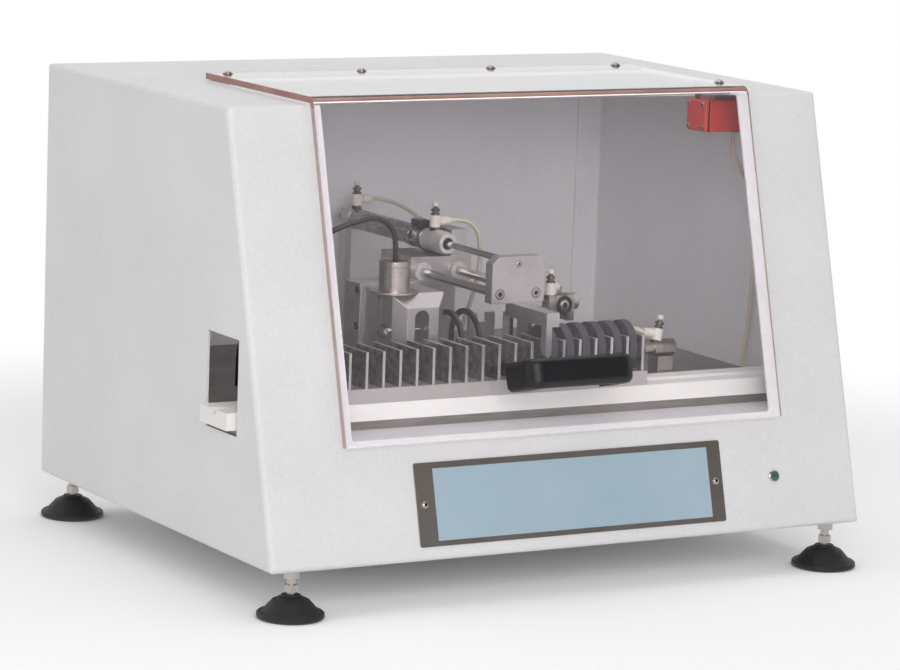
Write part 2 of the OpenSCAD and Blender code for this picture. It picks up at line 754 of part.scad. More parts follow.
module cylinder_caps() {
  cap_r = cyl_dia/2 + 0.8;
  cap_l = 12;
  fork_w = 14;
  eye_w = 6.6;
  color("lightgray") up() {
    difference() {
      union() {
        rod_y([puller_x, cyl_front_y - 9, piston_z], 9, cap_r);
        rod_y([puller_x, cyl_front_y - 24, piston_z], 16, 7);
        rod_y([puller_x, cyl_front_y - 20, piston_z], 6, 9.5);
      }
      rod_y([puller_x, 0, piston_z], 100, piston_dia/2 + fit);
    }
    rod_y([puller_x, cyl_back_y, piston_z], cap_l, cap_r);
    difference() {
      box([puller_x - fork_w/2, cyl_back_y + cap_l - 1, piston_z - 6],
        [puller_x + fork_w/2, cyl_back_y + cap_l + 15, piston_z + 6]);
      box([puller_x - eye_w/2, cyl_back_y + cap_l + 3, piston_z - 7],
        [puller_x + eye_w/2, cyl_back_y + cap_l + 16, piston_z + 7]);
    }
  }
  color("dimgray") up() rod_x([puller_x - fork_w/2 - 2, cyl_back_y + cap_l + 10, piston_z], fork_w + 4, 2.5);
}

module clevis_post() {
  eye_w = 6;
  base = [32, 28, 6];
  y = cyl_back_y + 22;
  color("gray") up() difference() {
    union() {
      box([puller_x - eye_w/2, y - 6, floor_z + base.z - 1], [puller_x + eye_w/2, y + 6, piston_z + 7]);
      box([puller_x - base.x/2, y - base.y/2, floor_z], [puller_x + base.x/2, y + base.y/2 - 2, floor_z + base.z]);
    }
    rod_x([puller_x - 10, y, piston_z], 20, 2.5);
  }
}

// A screw-in flow control: stem, banjo body, hexagon, cap and side elbow, standing at its seat
module flow_control(turn) {
  color("ivory") {
    translate([0, 0, 4]) difference() {
      cylinder(r = 5, h = 11);
      translate([0, 0, -1]) cylinder(r = 2.5, h = 13);
    }
    rotate([0, 0, turn]) rod_x([4, 0, 9], 9, 3.6);
  }
  color("#5a5550") {
    translate([0, 0, 0.2]) cylinder(r = 2.4, h = 15);
    translate([0, 0, 0]) hex(9, 4);
    translate([0, 0, 15]) hex(8.5, 6);
    translate([0, 0, 21]) cylinder(r = 2, h = 3);
    translate([0, 0, 24]) cylinder(r = 3, h = 3);
  }
}

module flow_controls() {
  up() {
    translate([puller_x, cyl_back_y + 5, piston_z + cyl_dia/2 + 0.8]) flow_control(0);
    translate([puller_x, cyl_front_y - 3.5, piston_z + cyl_dia/2 + 0.8]) flow_control(0);
    translate([transfer_end_x - 20, lane_y, port_z + 6.3]) flow_control(0);
    translate([index_x - 5, index_y, index_z + 7.5]) flow_control(180);
  }
}

rear_tube = [[15.5, 191, 251], [24, 191, 251], [36, 180, 250], [42, 150, 240], [42, 120, 215],
  [42, 105, 170], [42, 100, 130], [42, 100, 111.5]];
front_tube = [[15.5, 52.5, 251], [26, 52.5, 251], [44, 50, 240], [52, 48, 215], [50, 50, 180],
  [46, 58, 150], [46, 60, 125], [46, 60, 111.5]];
lane_tube = [[69.5, -80.75, 206], [80, -80.75, 205.5], [92, -70, 190], [94, -50, 160], [94, -40, 130],
  [94, -36, 111.5]];
index_tube = [[146, -97.5, 162.6], [134, -97.5, 163], [116, -84, 160], [104, -62, 140],
  [104, -52, 124], [104, -50, 111.5]];
module air_tubes() {
  color([0.8, 0.8, 0.6]) up() {
    swept(smooth(rear_tube), 2);
    swept(smooth(front_tube), 2);
    swept(smooth(lane_tube), 2);
    swept(smooth(index_tube), 2);
  }
}

// Tester head
module head_block() {
  back = head_y + 28;
  half_face = head_face_w/2;
  cut = (head_w - head_face_w)/2;
  color("silver") up() difference() {
    translate([0, 0, floor_z]) linear_extrude(head_top_z - floor_z)
      polygon([[head_x - head_w/2, back], [head_x - head_w/2, head_y + cut], [head_x - half_face, head_y],
        [head_x + half_face, head_y], [head_x + head_w/2, head_y + cut], [head_x + head_w/2, back]]);
    // Sloping front edge of the top
    along_x(head_x - head_w, head_x + head_w)
      polygon([[head_y - 1, head_top_z - 10.5], [head_y + 12, head_top_z + 1], [head_y - 1, head_top_z + 1]]);
    // Arched slot from front to back
    along_y(head_y - 1, back + 1) {
      translate([head_x + 2, head_top_z - 19]) circle(r = slot_w/2);
      translate([head_x + 2 - slot_w/2, magazine_top_z]) square([slot_w, head_top_z - 19 - magazine_top_z]);
    }
    rod_x([head_x - head_w/2 - 1, head_y + 14, head_top_z - 32], head_w/2 + 1, 3.5 + fit);
  }
}

module head_column() {
  rear_gap = 9;
  left = head_x - head_w/2 - 38;
  side = head_x - head_w/2 - rear_gap;
  back = head_y + 52;
  color("silver") up() {
    box([left, head_y + 6, floor_z], [left + 12, back, head_top_z + 10]);
    box([left + 11.9, head_y + 10, floor_z], [side, back, head_top_z]);
    box([side - 0.1, head_y + 29, floor_z], [head_x + head_w/2, back, head_top_z]);
  }
  color("dimgray") up() for (z = [head_top_z - 2, head_top_z - 40])
    rod_y([left + 6, head_y + 3.5, z], 2.6, 3);
}

module head_top_plate() {
  color("silver") up() difference() {
    box([head_x - head_w/2 - 8, head_y + 12, head_top_z], [head_x + head_w/2, head_y + 52, head_top_z + 5]);
    rod_z([cup_x, cup_y, head_top_z - 1], 8, 6);
  }
}

module load_cell_cup() {
  flange = [cup_dia/2 + 7.5, 3];
  color("silver") up() translate([cup_x, cup_y, cup_z]) difference() {
    rotate_extrude()
      polygon([[0, 0], [flange.x, 0], [flange.x, flange.y], [cup_dia/2, flange.y], [cup_dia/2, cup_h - 4],
        [cup_dia/2 - 0.6, cup_h - 3.6], [cup_dia/2 - 0.6, cup_h - 2.6], [cup_dia/2, cup_h - 2.2],
        [cup_dia/2, cup_h + 3], [0, cup_h + 3]]);
    translate([0, 0, cup_h - 3]) cylinder(r = cup_dia/2 - 2, h = 10);
  }
}

head_route = [[-107, -81, 229.2], [-107, -81, 248], [-110, -80, 262], [-122, -78, 272], [-142, -74, 270],
  [-166, -66, 260], [-188, -40, 236], [-200, 0, 195], [-204, 20, 150], [-204, 24, 111.5]];
module head_cable() { color("#1a1a22") up() swept(smooth(head_route, 2), 2.4); }

module indenter() {
  color("silver") up() translate([0, head_y + 14, head_top_z - 32]) {
    rod_x([head_x - head_w/2 - 5, 0, 0], head_w/2 + 3, 3.5);
    rod_x([head_x - 2.1, 0, 0], 6, 1.5);
    translate([head_x - head_w/2 - 8.7, 0, 0]) rotate([0, 90, 0]) hex(11, 4);
  }
}

// Transfer lane behind the magazine
module transfer_lane() {
  left = head_x + head_w/2 + 0.5;
  front = rail_front_y + rail_d + 1;
  back = lane_y + disc_dia/2 + 6;
  leg_w = 12;
  wall_t = 4;
  color("gray") up() {
    difference() {
      box([left, front, magazine_top_z - lane_t], [lane_right_x, back, magazine_top_z]);
      box([-40, lane_y - 14, magazine_top_z - 20], [-28, lane_y + 14, magazine_top_z + 1]);
    }
    for (x = [left + 8, lane_right_x - 20])
      box([x, lane_y - leg_w, floor_z], [x + leg_w, lane_y + leg_w, magazine_top_z - lane_t + 0.1]);
    box([left + 1.5, back - 0.5 - wall_t, magazine_top_z - 1], [-53, back - 0.5, magazine_top_z + 26]);
  }
}

module lane_guides() {
  outer_r = 27;
  inner_r = 23;
  color("#3a3838") up() for (x = [-52, -34]) difference() {
    along_x(x, x + 3) translate([lane_y, magazine_top_z]) {
      translate([0, outer_r - 3]) circle(r = outer_r);
      translate([-outer_r, 0]) square([2*outer_r, outer_r - 3]);
    }
    along_x(x - 1, x + 4) translate([lane_y, magazine_top_z]) {
      translate([0, inner_r]) circle(r = inner_r);
      translate([-inner_r, -5]) square([2*inner_r, inner_r + 5]);
    }
  }
}

module lane_stop() {
  stop_w = 26;
  stop_h = 42;
  notch_w = 10;
  front = lane_y + disc_dia/2 + 1;
  color("gray") up() difference() {
    box([slot_x - stop_w/2, front, magazine_top_z], [slot_x + stop_w/2, front + 4.9, magazine_top_z + stop_h]);
    box([slot_x - notch_w/2, front - 1, magazine_top_z + stop_h - 8],
      [slot_x + notch_w/2, front + 20, magazine_top_z + stop_h + 8]);
  }
}

module transfer_cylinder() {
  tube_r = 6.3;
  tube_x = nose_x + 8;
  tube_l = transfer_end_x - tube_x;
  end_w = 7;
  color("silver") up() {
    difference() {
      union() {
        rod_x([tube_x, lane_y, transfer_z], tube_l, tube_r);
        rod_x([nose_x, lane_y, transfer_z], 9, 5);
        // End block with its port plug
        box([transfer_end_x - end_w, lane_y - 7, transfer_z - 7], [transfer_end_x, lane_y + 7, port_z + 7]);
        rod_x([transfer_end_x - 0.1, lane_y, port_z], 5.1, 7.5);
        // Port bar under the flow control
        box([transfer_end_x - 26, lane_y - 6, transfer_z + 2], [transfer_end_x - end_w + 0.1, lane_y + 6, port_z + 6.3]);
      }
      rod_x([nose_x - 4, lane_y, transfer_z], tube_l + 6, transfer_r + fit);
      translate([transfer_end_x + 2, lane_y, port_z]) rotate([0, 90, 0]) hex(5, 4);
    }
    difference() {
      box([nose_x + 2, lane_y - 9, magazine_top_z], [nose_x + 7, lane_y + 9, transfer_z + 6]);
      rod_x([nose_x - 4, lane_y, transfer_z], 20, 5.02);
    }
  }
}

module transfer_rod() {
  face = [4, 12];
  color("silver") up() {
    rod_x([pusher_x + face.x - 0.5, lane_y, transfer_z], 52, transfer_r);
    box([pusher_x, lane_y - face.y/2, magazine_top_z + 8],
      [pusher_x + face.x, lane_y + face.y/2, transfer_z + transfer_r + 0.2]);
  }
}

// Index drive, which steps the magazine along its rail
module index_cylinder() {
  gland = [5.5, 20];
  body = [7.5, 22];
  foot = 16;
  color("silver") up() {
    difference() {
      union() {
        rod_x([index_x - gland.y, index_y, index_z], gland.y, gland.x);
        rod_x([index_x - 10, index_y, index_z], body.y, body.x);
      }
      rod_x([index_x - gland.y - 5, index_y, index_z], 32, 2 + fit);
    }
    box([index_x - foot/2, index_y - foot/2, floor_z], [index_x + foot/2, index_y + foot/2, index_z - 7]);
  }
}

module index_rod() {
  pawl_w = 8;
  color("silver") up() {
    rod_x([index_x - 48, index_y, index_z], 52, 2);
    box([index_x - 48 - pawl_w, index_y - 12, index_z - 8], [index_x - 48, index_y + 5, index_z + 5]);
  }
}

// Magazine
module magazine_base() {
  color("#b9afac") up() {
    box([magazine_left_x, rail_y - magazine_d/2, magazine_z],
      [magazine_right_x, rail_y + magazine_d/2, magazine_top_z]);
    box([magazine_left_x, rail_y - groove_w/2 + glide, rail_top_z - groove_d + glide],
      [magazine_right_x, rail_y + groove_w/2 - glide, magazine_z + 0.1]);
  }
}

module magazine_fins() {
  color("lightgray") up() for (k = [0:slot_count]) {
    x = last_fin_x - k*fin_pitch;
    box([x - fin_t/2, rail_y - magazine_d/2, magazine_top_z], [x + fin_t/2, rail_y + magazine_d/2, magazine_top_z + fin_h]);
  }
}

module sample_discs() {
  color("#4a4648") up() for (k = [0:disc_count - 1])
    rod_x([last_fin_x - (k + 0.5)*fin_pitch - disc_t/2, rail_y, magazine_top_z + disc_dia/2 + 0.05], disc_t, disc_dia/2);
}

// Inner pieces under the deck and sockets at the rear
module power_supply() {
  color("silver") up() box([inlet_x - 40, 40, sheet_t], [inlet_x + 70, 190, 46]);
}

module valve_manifold() {
  at = [40, 20];
  size = [140, 30, 20];
  valve_count = 5;
  valve = [22, 26, 40];
  color("silver") up() translate([at.x, at.y, sheet_t]) {
    cube(size);
    for (i = [0:valve_count - 1]) translate([4 + i*27, 2, size.z - 0.1]) cube(valve);
  }
}

module power_inlet() {
  w = 27.6;
  h = 47.6;
  flange = [36, 56, 2.5];
  back = half_d - 22;
  socket = [22, 20];
  rocker_h = 20.5;
  color("#1c1c1e") up() difference() {
    union() {
      box([inlet_x - w/2, back, inlet_z - h/2], [inlet_x + w/2, half_d + 1.6, inlet_z + h/2]);
      box([inlet_x - flange.x/2, half_d + 1.5, inlet_z - flange.y/2],
        [inlet_x + flange.x/2, half_d + 1.5 + flange.z, inlet_z + flange.y/2]);
    }
    box([inlet_x - socket.x/2, half_d - 16, inlet_z - 22], [inlet_x + socket.x/2, half_d + 5, inlet_z - 22 + socket.y]);
    box([inlet_x - socket.x/2, half_d - 12, inlet_z + 2],
      [inlet_x + socket.x/2, half_d + 5, inlet_z + 2 + rocker_h]);
  }
  color("silver") up() for (x = [-6, 0, 6])
    box([inlet_x + x - 1, half_d - 16, inlet_z - 14], [inlet_x + x + 1, half_d, inlet_z - 10]);
}

module power_rocker() {
  w = 21.2;
  color("#1c1c1e") up() translate([inlet_x, half_d - 2, inlet_z + 12.25]) difference() {
    along_x(-w/2, w/2) polygon([[-6, -7], [2.5, -8], [3.6, -6.5], [1.5, 0], [5.5, 7], [4, 8], [-6, 7]]);
    rod_x([-12, -2, 0], 24, 1.25);
  }
}

module air_inlet() {
  barrel_r = 6.1;
  color("silver") up() difference() {
    union() {
      rod_y([air_x, half_d - 12, inlet_z], 20, barrel_r);
      for (y = [1.5, -8]) translate([air_x, half_d + y, inlet_z]) rotate([-90, 0, 0]) hex(17, 5);
    }
    rod_y([air_x, half_d - 20, inlet_z], 40, 4.2);
  }
}

cabinet_shell();
rear_panel();
deck_plate();
floor_plate();
slide_rail();
nameplate();
nameplate_screws();
lamp_bezel();
lamp_lens();
hinge_fixed_leaf();
hinge_pin();
safety_switch();
switch_gland();
switch_cable();
lid_sensor();
foot_studs();
foot_nuts();
power_inlet();
air_inlet();
bearing_stand();
bearing_block();
rod_bushings();
cylinder_bracket();
cylinder_tube();
cylinder_caps();
clevis_post();
flow_controls();
air_tubes();
head_column();
head_block();
head_top_plate();
load_cell_cup();
head_cable();
transfer_lane();
lane_guides();
lane_stop();
transfer_cylinder();
index_cylinder();
power_supply();
valve_manifold();
lid_shell();
lid_handle();
hinge_moving_leaf();
lid_screws();
interlock_key();
magazine_base();
magazine_fins();
sample_discs();
puller_plate();
puller_arm();
guide_rods();
piston_rod();
foot_pad(-foot_x, -foot_y);  // foot_pad_front_left
foot_pad(foot_x, -foot_y);  // foot_pad_front_right
foot_pad(-foot_x, foot_y);  // foot_pad_rear_left
foot_pad(foot_x, foot_y);  // foot_pad_rear_right
indenter();
transfer_rod();
index_rod();
power_rocker();
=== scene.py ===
import math
import bmesh
import bpy
from mathutils import Matrix, Vector


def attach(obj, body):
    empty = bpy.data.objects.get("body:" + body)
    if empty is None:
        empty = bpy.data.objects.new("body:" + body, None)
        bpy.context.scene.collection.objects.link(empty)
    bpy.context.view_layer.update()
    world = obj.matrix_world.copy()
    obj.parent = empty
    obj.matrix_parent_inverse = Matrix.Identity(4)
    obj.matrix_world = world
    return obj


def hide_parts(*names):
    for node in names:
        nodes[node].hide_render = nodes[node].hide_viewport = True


# Bench hardness tester with a clear hinged lid: its looks, in metres, +Z up, the front faces -Y
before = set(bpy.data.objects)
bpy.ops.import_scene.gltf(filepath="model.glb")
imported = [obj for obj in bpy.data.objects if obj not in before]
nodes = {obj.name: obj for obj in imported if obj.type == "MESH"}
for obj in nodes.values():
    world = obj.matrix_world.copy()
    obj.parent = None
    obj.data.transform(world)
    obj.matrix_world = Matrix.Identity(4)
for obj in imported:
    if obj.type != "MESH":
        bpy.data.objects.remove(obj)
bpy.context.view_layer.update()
mm = 0.001


# Small tools

def toLinear(hexColour):  # sRGB hex to the linear colour that a shader takes
    parts = [int(hexColour[i:i + 2], 16) / 255 for i in (1, 3, 5)]
    return [c / 12.92 if c < 0.04045 else ((c + 0.055) / 1.055) ** 2.4 for c in parts] + [1]


def addNode(tree, kind, settings=None, links=None):
    node = tree.nodes.new(kind)
    for key, value in (settings or {}).items():
        if isinstance(key, int) or key in node.inputs:
            node.inputs[key].default_value = value
        else:
            setattr(node, key, value)
    for key, socket in (links or {}).items():
        tree.links.new(socket, node.inputs[key])
    return node


def makeMaterial(name, look):
    material = bpy.data.materials.new(name)
    material.use_nodes = True
    tree = material.node_tree
    shader = tree.nodes["Principled BSDF"]
    for socket, value in look.get("shader", {}).items():
        shader.inputs[socket].default_value = value
    place = addNode(tree, "ShaderNodeTexCoord")
    along = addNode(tree, "ShaderNodeMapping", {"Scale": look.get("stretch", (1, 1, 1))},
                    {"Vector": place.outputs["Object"]})
    patch = addNode(tree, "ShaderNodeTexNoise", {"Scale": 1 / look["patch"], "Detail": 3.0},
                    {"Vector": place.outputs["Object"]})
    grain = addNode(tree, "ShaderNodeTexNoise", {"Scale": 1 / look["grain"], "Detail": 2.0},
                    {"Vector": along.outputs["Vector"]})
    patchShare = addNode(tree, "ShaderNodeMapRange", {"From Min": 0.35, "From Max": 0.65,
                         "To Min": 0.0, "To Max": look["patchAmount"]}, {"Value": patch.outputs["Fac"]})
    grainShare = addNode(tree, "ShaderNodeMapRange", {"From Min": 0.3, "From Max": 0.7,
                         "To Min": 0.0, "To Max": look["grainAmount"]}, {"Value": grain.outputs["Fac"]})
    both = addNode(tree, "ShaderNodeMath", {"operation": "ADD", "use_clamp": True},
                   {0: patchShare.outputs["Result"], 1: grainShare.outputs["Result"]})
    colour = addNode(tree, "ShaderNodeMix", {"data_type": "RGBA", 6: toLinear(look["colour"]),
                     7: toLinear(look["shade"])}, {0: both.outputs["Value"]})
    low, high = look["roughness"]
    roughness = addNode(tree, "ShaderNodeMapRange", {"From Min": 0.3, "From Max": 0.7, "To Min": low,
                        "To Max": high}, {"Value": grain.outputs["Fac"]})
    bump = addNode(tree, "ShaderNodeBump", {"Strength": look["bump"], "Distance": look["depth"]},
                   {"Height": grain.outputs["Fac"]})
    tree.links.new(colour.outputs[2], shader.inputs["Base Color"])
    tree.links.new(roughness.outputs["Result"], shader.inputs["Roughness"])
    tree.links.new(bump.outputs["Normal"], shader.inputs["Normal"])
    return material


# Materials. grain and patch are sizes in metres; grain that is finer than a pixel is drawn coarser

# Polyester powder coat on folded steel: orange peel, soft satin gloss
powderCoat = makeMaterial("whitePowderCoat", {
    "colour": "#E9E8E9", "shade": "#DAD8DA", "patch": 90 * mm, "patchAmount": 0.3, "grain": 3 * mm,
    "grainAmount": 0.35, "roughness": (0.4, 0.55), "bump": 0.9, "depth": 0.6 * mm,
    "shader": {"Specular IOR Level": 0.45}})
# The same coat on the deck, painted greyer as shade under the rail and lid, and rougher
deckShadedCoat = makeMaterial("deckCoatPaintedShade", {
    "colour": "#DAD9DA", "shade": "#C9C7C8", "patch": 60 * mm, "patchAmount": 0.4, "grain": 2 * mm,
    "grainAmount": 0.35, "roughness": (0.5, 0.65), "bump": 0.5, "depth": 0.25 * mm})
# Acetal bar, milled: bright white, waxy, faint cutter lines along the rail
acetal = makeMaterial("milledAcetal", {
    "colour": "#F6F5F1", "shade": "#EBE8E2", "patch": 70 * mm, "patchAmount": 0.4, "grain": 1.5 * mm,
    "grainAmount": 0.2, "stretch": (0.08, 1, 1), "roughness": (0.34, 0.46), "bump": 0.15, "depth": 0.05 * mm,
    "shader": {"Subsurface Weight": 0.08, "Subsurface Scale": 0.002}})
# Aluminium plate, fly-cut and brushed along X
floorPlate = makeMaterial("brushedFloorPlate", {
    "colour": "#A29C97", "shade": "#857F7A", "patch": 45 * mm, "patchAmount": 0.5, "grain": 1.1 * mm,
    "grainAmount": 0.5, "stretch": (0.05, 1, 1), "roughness": (0.38, 0.55), "bump": 0.2, "depth": 0.05 * mm,
    "shader": {"Metallic": 0.85}})
# Aluminium blocks, milled all over: pale, with fine cutter marks
milledAluminium = makeMaterial("milledAluminium", {
    "colour": "#CDC9C7", "shade": "#AFAAA8", "patch": 25 * mm, "patchAmount": 0.35, "grain": 0.9 * mm,
    "grainAmount": 0.35, "stretch": (1, 0.2, 0.5), "roughness": (0.3, 0.44), "bump": 0.15, "depth": 0.04 * mm,
    "shader": {"Metallic": 0.9}})
# Aluminium extrusion, plain anodised: even grey, finest grain
anodised = makeMaterial("plainAnodisedAluminium", {
    "colour": "#C9C4C1", "shade": "#B5AFAC", "patch": 40 * mm, "patchAmount": 0.3, "grain": 1 * mm,
    "grainAmount": 0.25, "stretch": (0.15, 1, 1), "roughness": (0.4, 0.5), "bump": 0.1, "depth": 0.03 * mm,
    "shader": {"Metallic": 0.75}})
# Faces of the aluminium fins: violet-grey and dark, painted shade standing in for the shade between
# neighbouring fins
finFaceShade = makeMaterial("finFacesPaintedShade", {
    "colour": "#B9B6BA", "shade": "#6E6A74", "patch": 9 * mm, "patchAmount": 0.6, "grain": 1.2 * mm,
    "grainAmount": 0.4, "stretch": (1, 0.3, 1), "roughness": (0.3, 0.5), "bump": 0.15, "depth": 0.04 * mm,
    "shader": {"Metallic": 0.85}})
# Stainless sheet of nameplate and hinge, brushed along X
brushedSteel = makeMaterial("brushedStainless", {
    "colour": "#B3A9A3", "shade": "#8F8681", "patch": 50 * mm, "patchAmount": 0.3, "grain": 0.9 * mm,
    "grainAmount": 0.45, "stretch": (0.03, 1, 1), "roughness": (0.3, 0.42), "bump": 0.2, "depth": 0.04 * mm,
    "shader": {"Metallic": 1.0}})
# Turned and plated steel for screws, studs and nuts
platedSteel = makeMaterial("platedSteel", {
    "colour": "#C6BFB9", "shade": "#9E968F", "patch": 12 * mm, "patchAmount": 0.4, "grain": 0.8 * mm,
    "grainAmount": 0.3, "roughness": (0.24, 0.36), "bump": 0.1, "depth": 0.03 * mm,
    "shader": {"Metallic": 1.0}})
# Ground and hard-chromed shafts: mirror bright
hardChrome = makeMaterial("hardChromeShaft", {
    "colour": "#D2CDCA", "shade": "#BBB4AF", "patch": 30 * mm, "patchAmount": 0.3, "grain": 0.8 * mm,
    "grainAmount": 0.15, "stretch": (1, 0.1, 1), "roughness": (0.1, 0.2), "bump": 0.04, "depth": 0.02 * mm,
    "shader": {"Metallic": 1.0}})
# Drawn stainless cylinder tube with handling marks
drawnTube = makeMaterial("drawnStainlessTube", {
    "colour": "#B5B0AF", "shade": "#77716F", "patch": 16 * mm, "patchAmount": 0.5, "grain": 1.2 * mm,
    "grainAmount": 0.3, "stretch": (1, 0.12, 1), "roughness": (0.16, 0.34), "bump": 0.06, "depth": 0.03 * mm,
    "shader": {"Metallic": 1.0}})
# Nickel-plated brass, tarnished dark in its corners
darkNickel = makeMaterial("darkNickelBrass", {
    "colour": "#8A827C", "shade": "#4A4542", "patch": 4 * mm, "patchAmount": 0.5, "grain": 0.8 * mm,
    "grainAmount": 0.3, "roughness": (0.22, 0.36), "bump": 0.08, "depth": 0.03 * mm,
    "shader": {"Metallic": 1.0}})
# Blackened steel screws and sensor brackets, and the dark colour painted into screw sockets and counterbores
# as painted shade
blackenedSteelAndRecessShade = makeMaterial("blackenedSteelAndRecessShade", {
    "colour": "#3B3836", "shade": "#242221", "patch": 8 * mm, "patchAmount": 0.4, "grain": 0.8 * mm,
    "grainAmount": 0.3, "roughness": (0.32, 0.46), "bump": 0.1, "depth": 0.03 * mm,
    "shader": {"Metallic": 0.7}})
# Bent guide sheet, dark bronze from its heat treatment
guideSheet = makeMaterial("darkGuideSheet", {
    "colour": "#5D5856", "shade": "#373332", "patch": 14 * mm, "patchAmount": 0.6, "grain": 1 * mm,
    "grainAmount": 0.3, "roughness": (0.25, 0.4), "bump": 0.1, "depth": 0.03 * mm,
    "shader": {"Metallic": 0.8}})
# Moulded PBT of push-in fittings: cream, half gloss
creamPlastic = makeMaterial("creamMouldedPlastic", {
    "colour": "#E6E0D6", "shade": "#D3CBBF", "patch": 9 * mm, "patchAmount": 0.4, "grain": 0.8 * mm,
    "grainAmount": 0.2, "roughness": (0.32, 0.44), "bump": 0.06, "depth": 0.03 * mm,
    "shader": {"Subsurface Weight": 0.06, "Subsurface Scale": 0.001}})
# Glass-filled nylon of the handle: black, fine spark-eroded grain
blackNylon = makeMaterial("blackGrainedNylon", {
    "colour": "#0D0A10", "shade": "#17131A", "patch": 20 * mm, "patchAmount": 0.5, "grain": 1.1 * mm,
    "grainAmount": 0.3, "roughness": (0.36, 0.5), "bump": 0.35, "depth": 0.08 * mm})
# Moulded phenolic of gland, inlet and band switch: black, half gloss
blackMoulding = makeMaterial("blackMoulding", {
    "colour": "#151417", "shade": "#201F22", "patch": 14 * mm, "patchAmount": 0.4, "grain": 0.9 * mm,
    "grainAmount": 0.2, "roughness": (0.4, 0.52), "bump": 0.15, "depth": 0.05 * mm})
# Moulded rubber feet: near black, dusty where the mould parts
footRubber = makeMaterial("blackFootRubber", {
    "colour": "#161417", "shade": "#242125", "patch": 10 * mm, "patchAmount": 0.5, "grain": 1 * mm,
    "grainAmount": 0.35, "roughness": (0.5, 0.68), "bump": 0.25, "depth": 0.08 * mm})
# Filled black rubber of the test discs: violet-grey bloom, cut flat faces
discRubber = makeMaterial("filledDiscRubber", {
    "colour": "#514D57", "shade": "#38343B", "patch": 8 * mm, "patchAmount": 0.6, "grain": 0.9 * mm,
    "grainAmount": 0.4, "roughness": (0.55, 0.75), "bump": 0.3, "depth": 0.06 * mm})
# Glass-filled polyester of the safety switch: signal red
signalRed = makeMaterial("signalRedMoulding", {
    "colour": "#C93B34", "shade": "#B02D29", "patch": 18 * mm, "patchAmount": 0.4, "grain": 0.9 * mm,
    "grainAmount": 0.25, "roughness": (0.36, 0.5), "bump": 0.2, "depth": 0.05 * mm})
# Polyurethane air tube: milky, yellow-green
airTube = makeMaterial("milkyAirTube", {
    "colour": "#DCDCC6", "shade": "#C8C8A8", "patch": 12 * mm, "patchAmount": 0.4, "grain": 1 * mm,
    "grainAmount": 0.15, "roughness": (0.18, 0.28), "bump": 0.03, "depth": 0.02 * mm,
    "shader": {"Subsurface Weight": 0.25, "Subsurface Scale": 0.002, "Transmission Weight": 0.15}})
# PVC cable sheath, blue-black
cableSheath = makeMaterial("blackCableSheath", {
    "colour": "#0E0C17", "shade": "#191722", "patch": 12 * mm, "patchAmount": 0.4, "grain": 0.9 * mm,
    "grainAmount": 0.2, "roughness": (0.28, 0.38), "bump": 0.05, "depth": 0.02 * mm})
# PVC lead of the switch, beige
beigeLead = makeMaterial("beigeLeadSheath", {
    "colour": "#D6C9B4", "shade": "#C2B49D", "patch": 12 * mm, "patchAmount": 0.4, "grain": 0.9 * mm,
    "grainAmount": 0.2, "roughness": (0.35, 0.45), "bump": 0.05, "depth": 0.02 * mm})
# Printed polyester film on the nameplate, left bare: pale blue, matt
labelFilm = makeMaterial("paleBlueLabelFilm", {
    "colour": "#A9BECB", "shade": "#9FB5C4", "patch": 80 * mm, "patchAmount": 0.5, "grain": 1 * mm,
    "grainAmount": 0.15, "roughness": (0.42, 0.5), "bump": 0.04, "depth": 0.02 * mm})
# Polycarbonate lens of the lamp, unlit: deep green
lampLens = makeMaterial("greenLampLens", {
    "colour": "#127A55", "shade": "#0B5A40", "patch": 3 * mm, "patchAmount": 0.4, "grain": 0.8 * mm,
    "grainAmount": 0.2, "roughness": (0.08, 0.16), "bump": 0.02, "depth": 0.02 * mm,
    "shader": {"Transmission Weight": 0.3, "Coat Weight": 0.6}})
# Sawn and sanded acrylic edge, which gathers the sheet's warm body colour
acrylicEdge = makeMaterial("tintedAcrylicEdge", {
    "colour": "#B4887B", "shade": "#93665E", "patch": 40 * mm, "patchAmount": 0.6, "grain": 1.2 * mm,
    "grainAmount": 0.3, "stretch": (1, 0.3, 0.3), "roughness": (0.3, 0.42), "bump": 0.08, "depth": 0.03 * mm,
    "shader": {"Subsurface Weight": 0.15, "Subsurface Scale": 0.002}})
# Front cap of the cylinder, bead blasted and anodised: nearly white
paleCap = makeMaterial("blastedAluminium", {
    "colour": "#E3DFDC", "shade": "#CFCAC7", "patch": 10 * mm, "patchAmount": 0.3, "grain": 0.8 * mm,
    "grainAmount": 0.3, "roughness": (0.36, 0.5), "bump": 0.1, "depth": 0.03 * mm,
    "shader": {"Metallic": 0.6}})
# Flanges of the rod bushings: filled plastic, matt and pale
paleBushing = makeMaterial("filledBushingPlastic", {
    "colour": "#D3CFCD", "shade": "#BFBAB8", "patch": 8 * mm, "patchAmount": 0.4, "grain": 0.8 * mm,
    "grainAmount": 0.2, "roughness": (0.4, 0.52), "bump": 0.08, "depth": 0.03 * mm})
# Screws blackened in oil and worn brown
bronzeBlack = makeMaterial("wornBlackScrew", {
    "colour": "#5A4A42", "shade": "#2E2724", "patch": 3 * mm, "patchAmount": 0.6, "grain": 0.8 * mm,
    "grainAmount": 0.4, "roughness": (0.3, 0.45), "bump": 0.1, "depth": 0.03 * mm,
    "shader": {"Metallic": 0.9}})
# The lid's edge along its leg, paler because light runs down the sheet and washes it out
paleEdge = makeMaterial("paleAcrylicEdge", {
    "colour": "#BFAEA7", "shade": "#A38F87", "patch": 40 * mm, "patchAmount": 0.5, "grain": 1.2 * mm,
    "grainAmount": 0.3, "stretch": (1, 0.3, 0.3), "roughness": (0.25, 0.4), "bump": 0.05, "depth": 0.02 * mm,
    "shader": {"Subsurface Weight": 0.15, "Subsurface Scale": 0.002}})
print("materials made")


